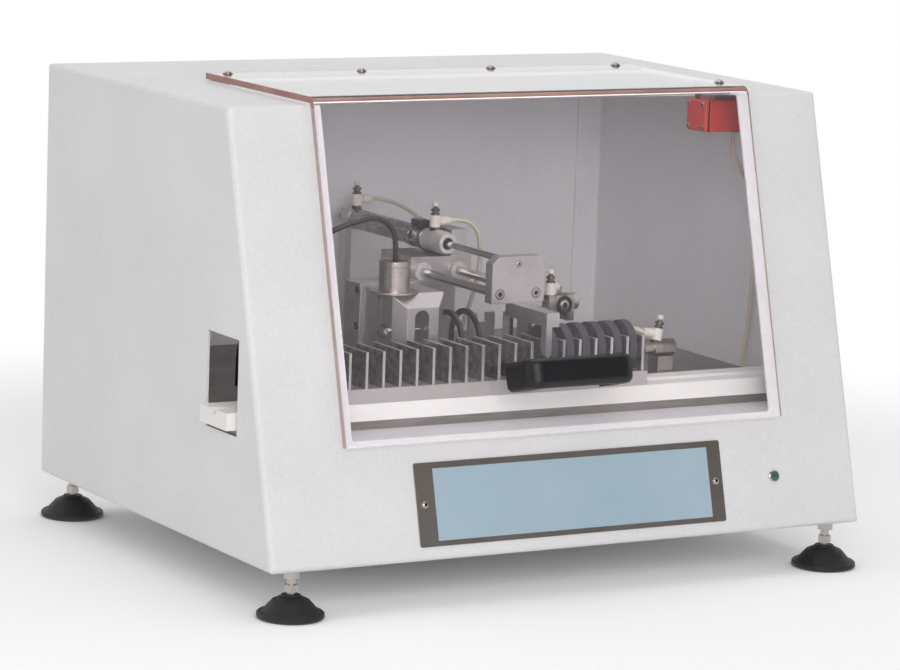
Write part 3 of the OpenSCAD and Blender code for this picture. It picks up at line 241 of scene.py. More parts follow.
def makeAcrylic(look):
    material = bpy.data.materials.new("clearCastAcrylic")
    material.use_nodes = True
    tree = material.node_tree
    shader = tree.nodes["Principled BSDF"]
    shader.inputs["Base Color"].default_value = toLinear(look["colour"])
    shader.inputs["Transmission Weight"].default_value = 1.0
    shader.inputs["IOR"].default_value = look["ior"]
    where = addNode(tree, "ShaderNodeTexCoord")
    haze = addNode(tree, "ShaderNodeTexNoise", {"Scale": 1 / look["haze"], "Detail": 3.0},
                   {"Vector": where.outputs["Object"]})
    roughness = addNode(tree, "ShaderNodeMapRange", {"From Min": 0.35, "From Max": 0.7, "To Min": 0.0,
                        "To Max": 0.03}, {"Value": haze.outputs["Fac"]})
    path = addNode(tree, "ShaderNodeLightPath")
    cover = addNode(tree, "ShaderNodeMapRange", {"To Min": 1.0, "To Max": look["shadow"]},
                    {"Value": path.outputs["Is Shadow Ray"]})
    tree.links.new(roughness.outputs["Result"], shader.inputs["Roughness"])
    tree.links.new(cover.outputs["Result"], shader.inputs["Alpha"])
    return material


# Cast acrylic sheet, polished: clear and mirror smooth, with a wiped-on haze; lamps shine through it
acrylic = makeAcrylic({"colour": "#FBF8FB", "ior": 1.49, "haze": 60 * mm, "shadow": 0.1})


# Finishes of the CAD nodes that stay
nodeFinish = {
    powderCoat: ["cabinet_shell", "rear_panel"],
    deckShadedCoat: ["deck_plate"],
    acetal: ["slide_rail"],
    paleBushing: ["rod_bushings"],
    floorPlate: ["floor_plate"],
    brushedSteel: ["nameplate", "hinge_fixed_leaf", "hinge_moving_leaf", "interlock_key"],
    platedSteel: ["hinge_pin", "foot_studs", "foot_nuts", "index_cylinder", "index_rod", "transfer_cylinder",
                  "air_inlet"],
    hardChrome: ["lamp_bezel", "guide_rods", "transfer_rod", "indenter"],
    drawnTube: ["cylinder_tube"],
    milledAluminium: ["bearing_stand", "cylinder_caps", "clevis_post", "transfer_lane", "lane_stop",
                      "power_supply", "valve_manifold"],
    anodised: ["magazine_base"],
    guideSheet: ["lane_guides"],
    creamPlastic: ["lid_sensor"],
    blackMoulding: ["switch_gland", "power_inlet", "power_rocker"],
    footRubber: ["foot_pad_front_left", "foot_pad_front_right", "foot_pad_rear_left", "foot_pad_rear_right"],
    lampLens: ["lamp_lens"],
}
for finish, names in nodeFinish.items():
    for name in names:
        mesh = nodes[name].data
        mesh.materials.clear()
        mesh.materials.append(finish)


# Mesh helpers. Pieces are drawn in millimetres, with heights counted from the cabinet's underside
underside = 41  # above the bench
ways = {"+Z": (0, "X"), "+X": (90, "Y"), "-X": (-90, "Y"), "+Y": (-90, "X"), "-Y": (90, "X")}


def seat(x, y, z, way="+Z", turn=0):  # a place, and the way that the part's own Z points there
    degrees, axis = ways[way]
    return (Matrix.Translation((x, y, z)) @ Matrix.Rotation(math.radians(degrees), 4, axis)
            @ Matrix.Rotation(math.radians(turn), 4, "Z"))


def addPart(target, part, matrix=None, slot=None):  # slot is left out where a part has several materials
    if slot is not None:
        for face in part.faces:
            face.material_index = slot
    if matrix is not None:
        bmesh.ops.transform(part, matrix=matrix, verts=part.verts)
    mesh = bpy.data.meshes.new("part")
    part.to_mesh(mesh)
    part.free()
    target.from_mesh(mesh)
    bpy.data.meshes.remove(mesh)


def onlyVerts(geometry):
    return [v for v in geometry if isinstance(v, bmesh.types.BMVert)]


def breakEdges(part, edges, width, segments=2):
    bmesh.ops.bevel(part, geom=edges, offset=width, offset_type="OFFSET", affect="EDGES", segments=segments,
                    profile=0.5, material=-1, clamp_overlap=True)
    return part


def block(low, high, edge=0.0, segments=2):  # a box between two corners
    part = bmesh.new()
    bmesh.ops.create_cube(part, size=1)
    bmesh.ops.scale(part, vec=Vector(high) - Vector(low), verts=part.verts)
    bmesh.ops.translate(part, vec=(Vector(low) + Vector(high)) / 2, verts=part.verts)
    return breakEdges(part, part.edges[:], edge, segments) if edge else part


def turned(profile, steps=40):  # radius and height points spun about Z
    part = bmesh.new()
    points = [part.verts.new((r, 0, z)) for r, z in profile]
    edges = [part.edges.new(pair) for pair in zip(points, points[1:])]
    bmesh.ops.spin(part, geom=points + edges, cent=(0, 0, 0), axis=(0, 0, 1), angle=2 * math.pi, steps=steps,
                   use_merge=True)
    bmesh.ops.remove_doubles(part, verts=part.verts, dist=1e-4)
    bmesh.ops.recalc_face_normals(part, faces=part.faces)
    return part


def prism(outline, height, edge=0.0, segments=2):  # an outline in X and Y raised along Z
    part = bmesh.new()
    face = part.faces.new([part.verts.new((x, y, 0)) for x, y in outline])
    raised = bmesh.ops.extrude_face_region(part, geom=[face])["geom"]
    bmesh.ops.translate(part, vec=(0, 0, height), verts=onlyVerts(raised))
    bmesh.ops.recalc_face_normals(part, faces=part.faces)
    return breakEdges(part, part.edges[:], edge, segments) if edge else part


def frontPrism(outline, back, depth, edge=0.0):  # an outline in X and height, raised forward from y = back
    part = prism(outline, depth, edge)
    bmesh.ops.transform(part, verts=part.verts, matrix=Matrix.Translation((0, back, 0))
                        @ Matrix(((1, 0, 0, 0), (0, 0, -1, 0), (0, 1, 0, 0), (0, 0, 0, 1))))
    return part


def hexagon(across, height, edge=0.25):
    corner = across / 2 / math.cos(math.pi / 6)
    points = [(corner * math.cos(math.pi / 3 * i), corner * math.sin(math.pi / 3 * i)) for i in range(6)]
    return prism(points, height, edge)


# The socket's sunk faces take the second of the slots; callers give it a dark finish, which is painted shade
# in the socket
def socketHead(profile, across, depth, slots=(0, 1)):  # a screw head; its profile starts at the socket
    part = turned(profile, 36)
    rimRadius, rimHeight = profile[0]
    rim = [v for v in part.verts if abs(v.co.z - rimHeight) < 1e-4 and
           abs(math.hypot(v.co.x, v.co.y) - rimRadius) < 1e-3]
    for v in rim:  # the round rim takes the hexagon's shape
        angle = math.atan2(v.co.y, v.co.x) % (math.pi / 3) - math.pi / 6
        reach = across / 2 / math.cos(angle)
        v.co.x, v.co.y = (c * reach / math.hypot(v.co.x, v.co.y) for c in (v.co.x, v.co.y))
    ring = [e for e in part.edges if e.is_boundary and all(v in rim for v in e.verts)]
    outer = len(part.faces)
    sunk = bmesh.ops.extrude_edge_only(part, edges=ring)["geom"]
    bmesh.ops.translate(part, vec=(0, 0, -depth), verts=onlyVerts(sunk))
    bmesh.ops.holes_fill(part, edges=[e for e in part.edges if e.is_boundary], sides=0)
    for index, face in enumerate(part.faces):
        face.material_index = slots[0] if index < outer else slots[1]
    bmesh.ops.recalc_face_normals(part, faces=part.faces)
    return part


def makePiece(name, bm, materials, body, replaced=(), sharp=40):
    bmesh.ops.translate(bm, vec=(0, 0, underside), verts=bm.verts)
    bmesh.ops.scale(bm, vec=(mm, mm, mm), verts=bm.verts)
    mesh = bpy.data.meshes.new(name)
    bm.to_mesh(mesh)
    bm.free()
    for material in materials:
        mesh.materials.append(material)
    mesh.shade_smooth()
    mesh.set_sharp_from_angle(angle=math.radians(sharp))
    piece = bpy.data.objects.new(name, mesh)
    bpy.context.scene.collection.objects.link(piece)
    weighted = piece.modifiers.new("flatFaces", "WEIGHTED_NORMAL")  # keeps broad faces flat beside soft edges
    weighted.keep_sharp = True
    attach(piece, body)
    if replaced:
        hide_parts(*replaced)
    return piece


# Frames of the sloping front and of the lid's leg, which lies parallel to it
frontAngle = math.atan(103 / 381)
halfDepth = 233.5


def frontFrame(x, up, out, foot=(0, -halfDepth, 0)):  # X to the right, Y up the slope, Z out of it
    rise = Vector((0, math.sin(frontAngle), math.cos(frontAngle)))
    outward = Vector((0, -math.cos(frontAngle), math.sin(frontAngle)))
    at = Vector(foot) + Vector((x, 0, 0)) + rise * up + outward * out
    return Matrix(((1, 0, 0, at.x), (0, rise.y, outward.y, at.y), (0, rise.z, outward.z, at.z), (0, 0, 0, 1)))


# Lid: one sheet, bent once, with sawn edges. Its outline is drawn in Y and height
lid = {"halfWidth": 222.5, "thickness": 5.5, "bendRadius": 4, "flangeLow": 382.8, "back": 66, "bottom": 97.5,
       "gap": 1.8, "bendSteps": 8, "edgeBreak": 0.5}
cornerY = -halfDepth + lid["flangeLow"] * math.tan(frontAngle) - lid["gap"] / math.cos(frontAngle)
bendAngle = math.pi / 2 - frontAngle
centre = Vector((cornerY + lid["bendRadius"] / math.tan((math.pi - bendAngle) / 2),
                 lid["flangeLow"] - lid["bendRadius"]))
leg = (Vector((-math.sin(frontAngle), -math.cos(frontAngle))) * (centre.y - lid["bottom"])
       / math.cos(frontAngle))
turns = [math.pi / 2 + bendAngle * i / lid["bendSteps"] for i in range(lid["bendSteps"] + 1)]
arc = [Vector((math.cos(t), math.sin(t))) for t in turns]
outer = [centre + a * (lid["bendRadius"] + lid["thickness"]) for a in arc]
inner = [centre + a * lid["bendRadius"] for a in reversed(arc)]
outline = [Vector((lid["back"], lid["flangeLow"])),
           Vector((lid["back"], lid["flangeLow"] + lid["thickness"])),
           *outer, outer[-1] + leg, inner[0] + leg, *inner]
sheet = prism([(p.x, p.y) for p in outline], 2 * lid["halfWidth"])
bmesh.ops.transform(sheet, verts=sheet.verts, matrix=Matrix(((0, 0, 1, -lid["halfWidth"]), (1, 0, 0, 0),
                                                             (0, 1, 0, 0), (0, 0, 0, 1))))
bmesh.ops.recalc_face_normals(sheet, faces=sheet.faces)
sides = [f for f in sheet.faces if abs(f.normal.x) > 0.9]
sideEdges = [e for e in sheet.edges if any(abs(f.normal.x) > 0.9 for f in e.link_faces)]
bmesh.ops.bisect_plane(sheet, geom=sides + sideEdges, plane_co=(0, 0, centre.y), plane_no=(0, 0, 1))
breakEdges(sheet, [e for e in sheet.edges if e.calc_face_angle(0) > 1.2], lid["edgeBreak"], 1)


def lidFinish(face):  # 0 the clear faces, 1 the flange's edges and the bend, 2 the edges of the leg
    middle, normal = face.calc_center_median(), face.normal
    isLeg = middle.z < centre.y
    if normal.x < -0.5 or normal.x > 0.9:
        return 2 if isLeg else 1
    if abs(normal.x) > 0.1:
        return 0
    if middle.z < lid["bottom"] + 4 and normal.z < -0.9:
        return 2
    isBend = 0.5 < normal.z < 0.9 and normal.y < 0 and not isLeg
    isBack = middle.y > lid["back"] - 1 and normal.y > 0.6 and normal.z < 0.1
    return 1 if isBend or isBack else 0


for face in sheet.faces:
    face.material_index = lidFinish(face)
makePiece("lidSheet", sheet, [acrylic, acrylicEdge, paleEdge], "lid", ["lid_shell"], 30)

# Lid handle: a moulded bow
handle = {"x": -3.1, "up": 53, "width": 113, "height": 26, "out": 38, "grip": 13, "foot": 20,
          "cornerRadius": 13, "innerRadius": 7, "edge": 6, "taper": 3, "gap": 0.05,
          "legFoot": (0, -214.7, 97.5)}
w, o = handle["width"] / 2, handle["out"]
bow = prism([(-w, 0), (-w + handle["taper"], o), (w - handle["taper"], o), (w, 0), (w - handle["foot"], 0),
             (w - handle["foot"], o - handle["grip"]), (-w + handle["foot"], o - handle["grip"]),
             (-w + handle["foot"], 0)], handle["height"])


def uprightEdges(part):
    return [e for e in part.edges if abs(e.verts[0].co.z - e.verts[1].co.z) > 1]


breakEdges(bow, [e for e in uprightEdges(bow) if e.verts[0].co.y > o - 1], handle["cornerRadius"], 8)
breakEdges(bow, [e for e in uprightEdges(bow) if abs(e.verts[0].co.y - o + handle["grip"]) < 1 and
                 abs(abs(e.verts[0].co.x) - w + handle["foot"]) < 1], handle["innerRadius"], 6)


def isHandleRim(edge):  # outside edges of the bow, above and below
    a, b = (v.co for v in edge.verts)
    level = abs(a.z - b.z) < 1e-3
    outside = all(c.y > o - handle["grip"] + 2 or abs(c.x) > w - 8 for c in (a, b))
    return level and outside and (a.y + b.y) > 1


breakEdges(bow, [e for e in bow.edges if isHandleRim(e)], handle["edge"], 5)
bmesh.ops.translate(bow, vec=(0, handle["gap"], -handle["height"] / 2), verts=bow.verts)
bmesh.ops.transform(bow, verts=bow.verts, matrix=frontFrame(handle["x"], handle["up"], 0, handle["legFoot"])
                    @ Matrix.Rotation(math.pi / 2, 4, "X"))
makePiece("lidHandle", bow, [blackNylon], "lid", ["lid_handle"], 60)
print("lid made")

# Pan heads of the lid, each on its washer
lidScrew = {"places": [(-208, 51), (-72.5, 51), (63, 51), (199, 51), (213, -103)], "top": 388.3,
            "turnStep": 17, "washer": [(0, 0), (4.5, 0), (4.5, 0.6), (4.25, 0.8), (0, 0.8)],
            "profile": [(1.3, 2.05), (2.3, 1.85), (3.1, 1.25), (3.5, 0.45), (3.5, 0), (0, 0)]}
headSeat = lidScrew["top"] + lidScrew["washer"][-1][1]
screws = bmesh.new()
for index, (x, y) in enumerate(lidScrew["places"]):
    addPart(screws, turned(lidScrew["washer"]), seat(x, y, lidScrew["top"]), 2)
    addPart(screws, socketHead(lidScrew["profile"], 2.5, 1.4),
            seat(x, y, headSeat, turn=lidScrew["turnStep"] * index))
makePiece("lidScrews", screws, [platedSteel, blackenedSteelAndRecessShade, darkNickel], "lid", ["lid_screws"])

# Nameplate: bare label and its two screws
label = {"low": (-138, 17.2, 1.2), "high": (142, 79.2, 1.35), "edge": 0.06}
film = block(label["low"], label["high"], label["edge"], 1)
bmesh.ops.transform(film, matrix=frontFrame(0, 0, 0), verts=film.verts)
makePiece("nameplateLabel", film, [labelFilm], "root")
plateScrew = {"x": 148.5, "up": 48.69, "out": 1.2,
              "profile": [(1.3, 2.0), (2.3, 1.7), (3.1, 1.1), (3.4, 0.3), (3.4, 0), (0, 0)]}
screws = bmesh.new()
for side in (-1, 1):
    addPart(screws, socketHead(plateScrew["profile"], 2.4, 1.2),
            frontFrame(side * plateScrew["x"], plateScrew["up"], plateScrew["out"]))
makePiece("nameplateScrews", screws, [platedSteel, blackenedSteelAndRecessShade], "root", ["nameplate_screws"])

# Magazine fins: sawn from sheet, bright at the edges, with painted shade on their faces between the fins
fins = {"count": 21, "last": 105.05, "pitch": 16.5, "thickness": 3, "front": -160, "back": -112.5,
        "low": 138.2, "high": 170.2, "edgeBreak": 0.4}
rack = bmesh.new()
for k in range(fins["count"]):
    x = fins["last"] - k * fins["pitch"]
    fin = block((x - fins["thickness"] / 2, fins["front"], fins["low"]),
                (x + fins["thickness"] / 2, fins["back"], fins["high"]), fins["edgeBreak"], 1)
    for face in fin.faces:
        # faces that look across to the next fin take the painted shade, the rest stay plain milled aluminium
        face.material_index = 0 if abs(face.normal.x) > 0.95 else 1
    addPart(rack, fin)
makePiece("magazineFins", rack, [finFaceShade, milledAluminium], "magazine", ["magazine_fins"])

# Rubber discs, died out of sheet: flat faces, soft rims
disc = {"count": 6, "radius": 21.5, "thickness": 8, "rim": 0.7, "waist": 0.15, "y": -136.25, "z": 159.75}
r, t, e = disc["radius"], disc["thickness"], disc["rim"]
discProfile = [(0, 0), (r - e, 0), (r - 0.3 * e, 0.3 * e), (r, e), (r - disc["waist"], t / 2), (r, t - e),
               (r - 0.3 * e, t - 0.3 * e), (r - e, t), (0, t)]
discs = bmesh.new()
for k in range(disc["count"]):
    x = fins["last"] - (k + 0.5) * fins["pitch"] - disc["thickness"] / 2
    addPart(discs, turned(discProfile, 56), seat(x, disc["y"], disc["z"], "+X"))
makePiece("rubberDiscs", discs, [discRubber], "magazine", ["sample_discs"])
print("magazine made")

# Flow controls: screw-in body, push-in elbow, knurled needle, cream cap
control = {"seats": [(1.3, 188, 240.8, 0, 0), (1.3, 38.5, 240.6, 0, 0), (54.3, -80.75, 193.4, 35, 0),
                     (158.2, -97.5, 149.4, 180, 11)],  # place, elbow's turn, lean
           "body": [(0, 4), (4.6, 4), (5, 4.4), (5, 14.4), (4.6, 15), (0, 15)],
           "elbow": [(0, 3.6), (3.3, 3.6), (3.3, 5.4), (4.1, 5.8), (4.1, 13), (3.8, 13.4), (3.3, 13.4),
                     (3.3, 15), (3.0, 15.3), (2.1, 15.3), (2.1, 13)],
           "needle": [(0, 14.8), (4.3, 14.8), (4.3, 16.6), (2.9, 17), (2.9, 18.4), (4.2, 18.8), (4.2, 20.8),
                      (2, 21.2), (2, 23.6), (0, 23.6)],
           "cap": [(0, 23.4), (2.8, 23.4), (3, 23.7), (3, 26.3), (2.4, 27), (0, 27)], "elbowUp": 9.5}
controls = bmesh.new()
for x, y, z, turn, lean in control["seats"]:
    at = seat(x, y, z) @ Matrix.Rotation(math.radians(lean), 4, "Y")
    side = (at @ Matrix.Rotation(math.radians(turn), 4, "Z") @ Matrix.Translation((0, 0, control["elbowUp"]))
            @ Matrix.Rotation(math.pi / 2, 4, "Y"))
    addPart(controls, hexagon(9, 4), at, 1)
    addPart(controls, turned(control["body"]), at, 0)
    addPart(controls, turned(control["elbow"]), side, 0)
    addPart(controls, turned(control["needle"], 20), at, 1)
    addPart(controls, turned(control["cap"]), at, 0)
makePiece("flowControls", controls, [creamPlastic, darkNickel], "root", ["flow_controls"])


# Tubes and cables: millimetre routes taken smoothly through their points
def makeHose(name, routes, radius, material, replaced):
    curve = bpy.data.curves.new(name, "CURVE")
    curve.dimensions = "3D"
    curve.bevel_depth = radius * mm
    curve.bevel_resolution = 5
    curve.resolution_u = 14
    curve.use_fill_caps = True
    for route in routes:
        spline = curve.splines.new("BEZIER")
        spline.bezier_points.add(len(route) - 1)
        for knot, (x, y, z) in zip(spline.bezier_points, route):
            knot.co = (x * mm, y * mm, (z + underside) * mm)
            knot.handle_left_type = knot.handle_right_type = "AUTO"
    curve.materials.append(material)
    hose = bpy.data.objects.new(name, curve)
    bpy.context.scene.collection.objects.link(hose)
    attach(hose, "root")
    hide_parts(*replaced)


airRoutes = [
    [(14.5, 188, 250.3), (24, 188, 250.3), (38, 170, 246), (42, 140, 236), (42, 115, 210), (42, 105, 170),
     (42, 100, 130), (42, 100, 111.5)],
    [(14.5, 38.5, 250.1), (25, 38.5, 250.3), (42, 38, 244), (51, 40, 222), (49, 46, 180), (45, 56, 150),
     (45, 60, 125), (45, 60, 111.5)],
    [(65, -73.2, 202.9), (71, -69, 203.2), (77, -60, 196), (79, -50, 165), (79, -42, 130), (79, -38, 111.5)],
    [(146, -97.5, 161), (134, -95, 165.5), (114, -86, 165), (98, -68, 150), (94, -54, 126), (94, -50, 111.5)]]
headRoute = [(-107, -81, 229.2), (-107, -81, 248), (-110, -80, 262), (-122, -78, 272), (-142, -74, 270),
             (-166, -66, 260), (-188, -40, 236), (-200, 0, 195), (-204, 20, 150), (-204, 24, 111.5)]
switchRoute = [(248, -76, 339), (248, -76, 325), (262, -70, 303), (282, -61, 280), (290, -57, 237),
               (291, -54, 180.5), (290, -51, 140.5), (288, -50, 120.5), (288, -50, 111.5)]
makeHose("airTubes", airRoutes, 2, airTube, ["air_tubes"])
makeHose("headCable", [headRoute], 2.4, cableSheath, ["head_cable"])
makeHose("switchCable", [switchRoute], 1.8, beigeLead, ["switch_cable"])
print("air line made")

# Main cylinder's front cap, with the rod's seal and the band round the tube
frontCap = {"at": (1.3, 57, 232.3),
            "sleeve": [(3.3, 40.5), (5.6, 40.5), (5.6, 43.6), (8.9, 43.8), (9.6, 43.1), (10.6, 38),
                       (10.6, 26.5), (10.1, 26), (10.1, 0.3), (3.3, 0.3)],
            "seal": [(3.2, 40.7), (3.2, 41.4), (5.4, 41.4), (5.4, 40.7)],
            "band": [(10, 0.5), (10.9, 0.5), (11.2, 0.9), (11.2, 7.6), (10.9, 8), (10, 8)]}
cap = bmesh.new()
for slot, ring in enumerate(("sleeve", "seal", "band")):
    addPart(cap, turned(frontCap[ring], 48), seat(*frontCap["at"], "-Y"), slot)
makePiece("cylinderFrontCap", cap, [paleCap, blackenedSteelAndRecessShade, drawnTube], "root")

# Mount bar beside the main cylinder
mountBar = {"low": (11.5, 25.4, 218.9), "high": (27.2, 74, 243.5), "edge": 0.5}
makePiece("cylinderMountBar", block(mountBar["low"], mountBar["high"], mountBar["edge"]), [milledAluminium],
          "root", ["cylinder_bracket"])

# Position switch on the band
bandSwitch = {"low": (-7.5, 52, 242.4), "high": (5.5, 67, 248.6), "edge": 0.8, "screw": (-2, 60, 248.5),
              "profile": [(1.2, 2.4), (2.2, 2.2), (2.5, 1.9), (2.5, 0), (0, 0)]}
clamp = bmesh.new()
addPart(clamp, block(bandSwitch["low"], bandSwitch["high"], bandSwitch["edge"]))
# the screw's socket takes the black moulding: painted shade in the socket
addPart(clamp, socketHead(bandSwitch["profile"], 2.4, 1.3, (1, 0)), seat(*bandSwitch["screw"]))
makePiece("bandSwitch", clamp, [blackMoulding, platedSteel], "root")

# Puller: a plate with two cut corners, the arm with its finger, and the rod that pulls them
puller = {"x": 1.3, "half": 27, "low": 197.2, "high": 239.2, "chamfer": 6.5, "front": -112.5, "thickness": 12,
          "edge": 0.45, "bar": ((-4.2, -172, 184.6), (9, -100.6, 197.3)),
          "finger": ((-4.2, -172, 159.7), (1.8, -163, 185.5))}
x, r, c = puller["x"], puller["half"], puller["chamfer"]
plate = frontPrism([(x - r, puller["low"]), (x + r, puller["low"]), (x + r, puller["high"] - c),
                    (x + r - c, puller["high"]), (x - r + c, puller["high"]), (x - r, puller["high"] - c)],
                   puller["front"] + puller["thickness"], puller["thickness"], puller["edge"])
makePiece("pullerPlate", plate, [milledAluminium], "puller", ["puller_plate"])
arm = bmesh.new()
addPart(arm, block(*puller["bar"], puller["edge"]))
addPart(arm, block(*puller["finger"], puller["edge"]))
makePiece("pullerArm", arm, [milledAluminium], "puller", ["puller_arm"])
pistonRod = {"start": (1.3, -111.5, 232.3), "radius": 3, "length": 171.5}
rod = bmesh.new()
addPart(rod, turned([(0, 0), (pistonRod["radius"], 0), (pistonRod["radius"], pistonRod["length"]),
                     (0, pistonRod["length"])]), seat(*pistonRod["start"], "+Y"))
makePiece("pistonRod", rod, [hardChrome], "puller", ["piston_rod"])

# Socket screws in the puller plate's face, each on a thin dark disc: painted shade for the counterbore round
# its head
pullerScrew = {
    "large": {"places": [(-17.3, -112.45, 205.7), (19.9, -112.45, 205.7)], "across": 4, "depth": 0.35,
              "pocketShade": [(0, 0), (4.7, 0), (4.7, 0.12), (0, 0.12)],
              "profile": [(2.2, 0.5), (3.7, 0.5), (4.1, 0.15), (4.1, 0), (0, 0)]},
    "small": {"places": [(1.3, -112.45, 232.3)], "across": 2.2, "depth": 0.4,
              "pocketShade": [(0, 0), (3, 0), (3, 0.1), (0, 0.1)],
              "profile": [(1.3, 0.6), (2.2, 0.6), (2.6, 0.3), (2.6, 0), (0, 0)]}}
screws = bmesh.new()
for screw in pullerScrew.values():
    for at in screw["places"]:
        addPart(screws, turned(screw["pocketShade"]), seat(*at, "-Y"), 1)
        addPart(screws, socketHead(screw["profile"], screw["across"], screw["depth"]), seat(*at, "-Y"))
makePiece("pullerScrews", screws, [platedSteel, blackenedSteelAndRecessShade], "puller")

# Bearing block, wider than its stand
bearing = {"low": (-31, 25, 191.45), "high": (33.5, 80, 219.6), "edge": 0.6}
makePiece("bearingBlock", block(bearing["low"], bearing["high"], bearing["edge"]), [milledAluminium], "root",
          ["bearing_block"])

# Tester head: a chamfered block with an arched slot, and two plates behind it
head = {"x": (-116, -64), "front": -105, "seam": -74.2, "mid": -41.4, "back": -13, "low": 110.5, "top": 207.6,
        "slotX": -91.2, "slotRadius": 7.1, "slotTop": 186.6, "archSteps": 12, "corner": 10.4, "slope": 11.5,
        "edge": 0.5, "plateTop": 209.4}
(left, right), top, r = head["x"], head["top"], head["slotRadius"]
turns = [math.pi * i / head["archSteps"] for i in range(head["archSteps"] + 1)]
arch = [(head["slotX"] + r * math.cos(t), head["slotTop"] + r * math.sin(t)) for t in reversed(turns)]
section = [(left, head["low"]), (head["slotX"] - r, head["low"]), *arch, (head["slotX"] + r, head["low"]),
           (right, head["low"]), (right, top), (left, top)]
body = frontPrism(section, head["seam"], head["seam"] - head["front"])
cuts = [((left + head["corner"], head["front"], 0), (-1, -1, 0)),
        ((right - head["corner"], head["front"], 0), (1, -1, 0)),
        ((0, head["front"], top - head["slope"]), (0, -1, 1))]
for spot, out in cuts:  # the two front corners and the sloping top edge
    bmesh.ops.bisect_plane(body, geom=body.verts[:] + body.edges[:] + body.faces[:], plane_co=spot,
                           plane_no=out, clear_outer=True)
    bmesh.ops.holes_fill(body, edges=[e for e in body.edges if e.is_boundary], sides=0)
bmesh.ops.recalc_face_normals(body, faces=body.faces)
breakEdges(body, [e for e in body.edges if e.calc_face_angle(0) > 0.5], head["edge"], 2)
headParts = bmesh.new()
addPart(headParts, body)
addPart(headParts, block((left, head["seam"] + 0.3, head["low"]), (right, head["mid"], top), head["edge"]))
addPart(headParts, block((left - 3, head["mid"] + 0.1, head["low"]),
                         (right + 4, head["back"], head["plateTop"]), head["edge"]))
makePiece("testerHead", headParts, [milledAluminium], "root",
          ["head_block", "head_column", "head_top_plate"])

# Screws on the tester head's left side: two worn ones in the rear plate, two small ones at the seam
headScrew = {
    "rear": {"places": [(-119, -36.6, 203.4), (-119, -36.6, 171)], "across": 3, "depth": 1, "slots": (0, 2),
             "profile": [(1.6, 1.2), (2.9, 1.1), (3.3, 0.6), (3.3, 0), (0, 0)]},
    "seam": {"places": [(-116, -71.5, 202), (-116, -71.5, 171)], "across": 1.6, "depth": 0.8, "slots": (1, 2),
             "profile": [(0.9, 1), (1.5, 1), (1.8, 0.7), (1.8, 0), (0, 0)]}}
screws = bmesh.new()
for screw in headScrew.values():
    for at in screw["places"]:
        addPart(screws, socketHead(screw["profile"], screw["across"], screw["depth"], screw["slots"]),
                seat(*at, "-X"))
makePiece("headScrews", screws, [bronzeBlack, platedSteel, blackenedSteelAndRecessShade], "root")

# Load cell cup, with its thin flange down on the block
cup = {"at": (-107, -81, 207.5), "steps": 56,
       "profile": [(0, 0), (21.5, 0), (21.5, 1.3), (21.2, 1.6), (14.2, 1.8), (14, 2.2), (14, 22.6),
                   (13.5, 22.9), (13.5, 24), (14, 24.3), (14, 27.6), (13.7, 28), (12.2, 28), (12, 27.7),
                   (12, 22.5), (0, 22.5)]}
cupPart = bmesh.new()
addPart(cupPart, turned(cup["profile"], cup["steps"]), seat(*cup["at"]))
makePiece("loadCellCup", cupPart, [platedSteel], "root", ["load_cell_cup"])

# Transfer cylinder's end block, with the port plug facing the front
plug = {"at": (65.2, -88.2, 188.6), "low": (56.5, -88, 181.5), "high": (73.5, -74, 197.2), "edge": 0.8,
        "ring": [(5, 0), (5, 1), (5.4, 1.2), (7.8, 1.2), (8.4, 0.6), (8.4, 0)],
        "head": [(2.6, 1.5), (4, 1.5), (4.5, 1.1), (4.5, 0), (0, 0)]}
portPlug = bmesh.new()
addPart(portPlug, block(plug["low"], plug["high"], plug["edge"]))
addPart(portPlug, turned(plug["ring"]), seat(*plug["at"], "-Y"), 1)
addPart(portPlug, socketHead(plug["head"], 4.6, 1.2), seat(*plug["at"], "-Y"))
makePiece("portPlug", portPlug, [platedSteel, blackenedSteelAndRecessShade], "root")

# Safety switch: body, cover and its four corner screws
switch = {"low": (200.5, -99, 342), "high": (254, -68, 371), "cover": 5, "coverEdge": 2.2, "bodyEdge": 1.2,
          "seam": 0.5, "sunk": 0.6, "lap": 0.2, "screws": [(-95, 346), (-72, 346), (-95, 367), (-72, 367)],
          "head": [(1.2, 0.9), (1.9, 0.8), (2.3, 0.4), (2.3, 0), (0, 0)],
          "bracketLow": (217, -88, 370.9), "bracketHigh": (249, -64, 379), "bracketEdge": 0.5}
low, high = Vector(switch["low"]), Vector(switch["high"])
sunk, lap = switch["sunk"], switch["lap"]
seam = low.x + switch["cover"]
box = bmesh.new()
addPart(box, block(low, (seam, high.y, high.z), switch["coverEdge"], 3))
addPart(box, block((seam - lap, low.y + sunk, low.z + sunk),
                   (seam + switch["seam"] + lap, high.y - sunk, high.z - sunk)), slot=2)
addPart(box, block((seam + switch["seam"], low.y, low.z), high, switch["bodyEdge"], 2))
for y, z in switch["screws"]:
    addPart(box, socketHead(switch["head"], 2.2, 0.7, (1, 2)), seat(low.x, y, z, "-X"))
addPart(box, block(switch["bracketLow"], switch["bracketHigh"], switch["bracketEdge"]), slot=1)
makePiece("safetySwitch", box, [signalRed, platedSteel, blackenedSteelAndRecessShade], "root", ["safety_switch"])
print("mechanism made")


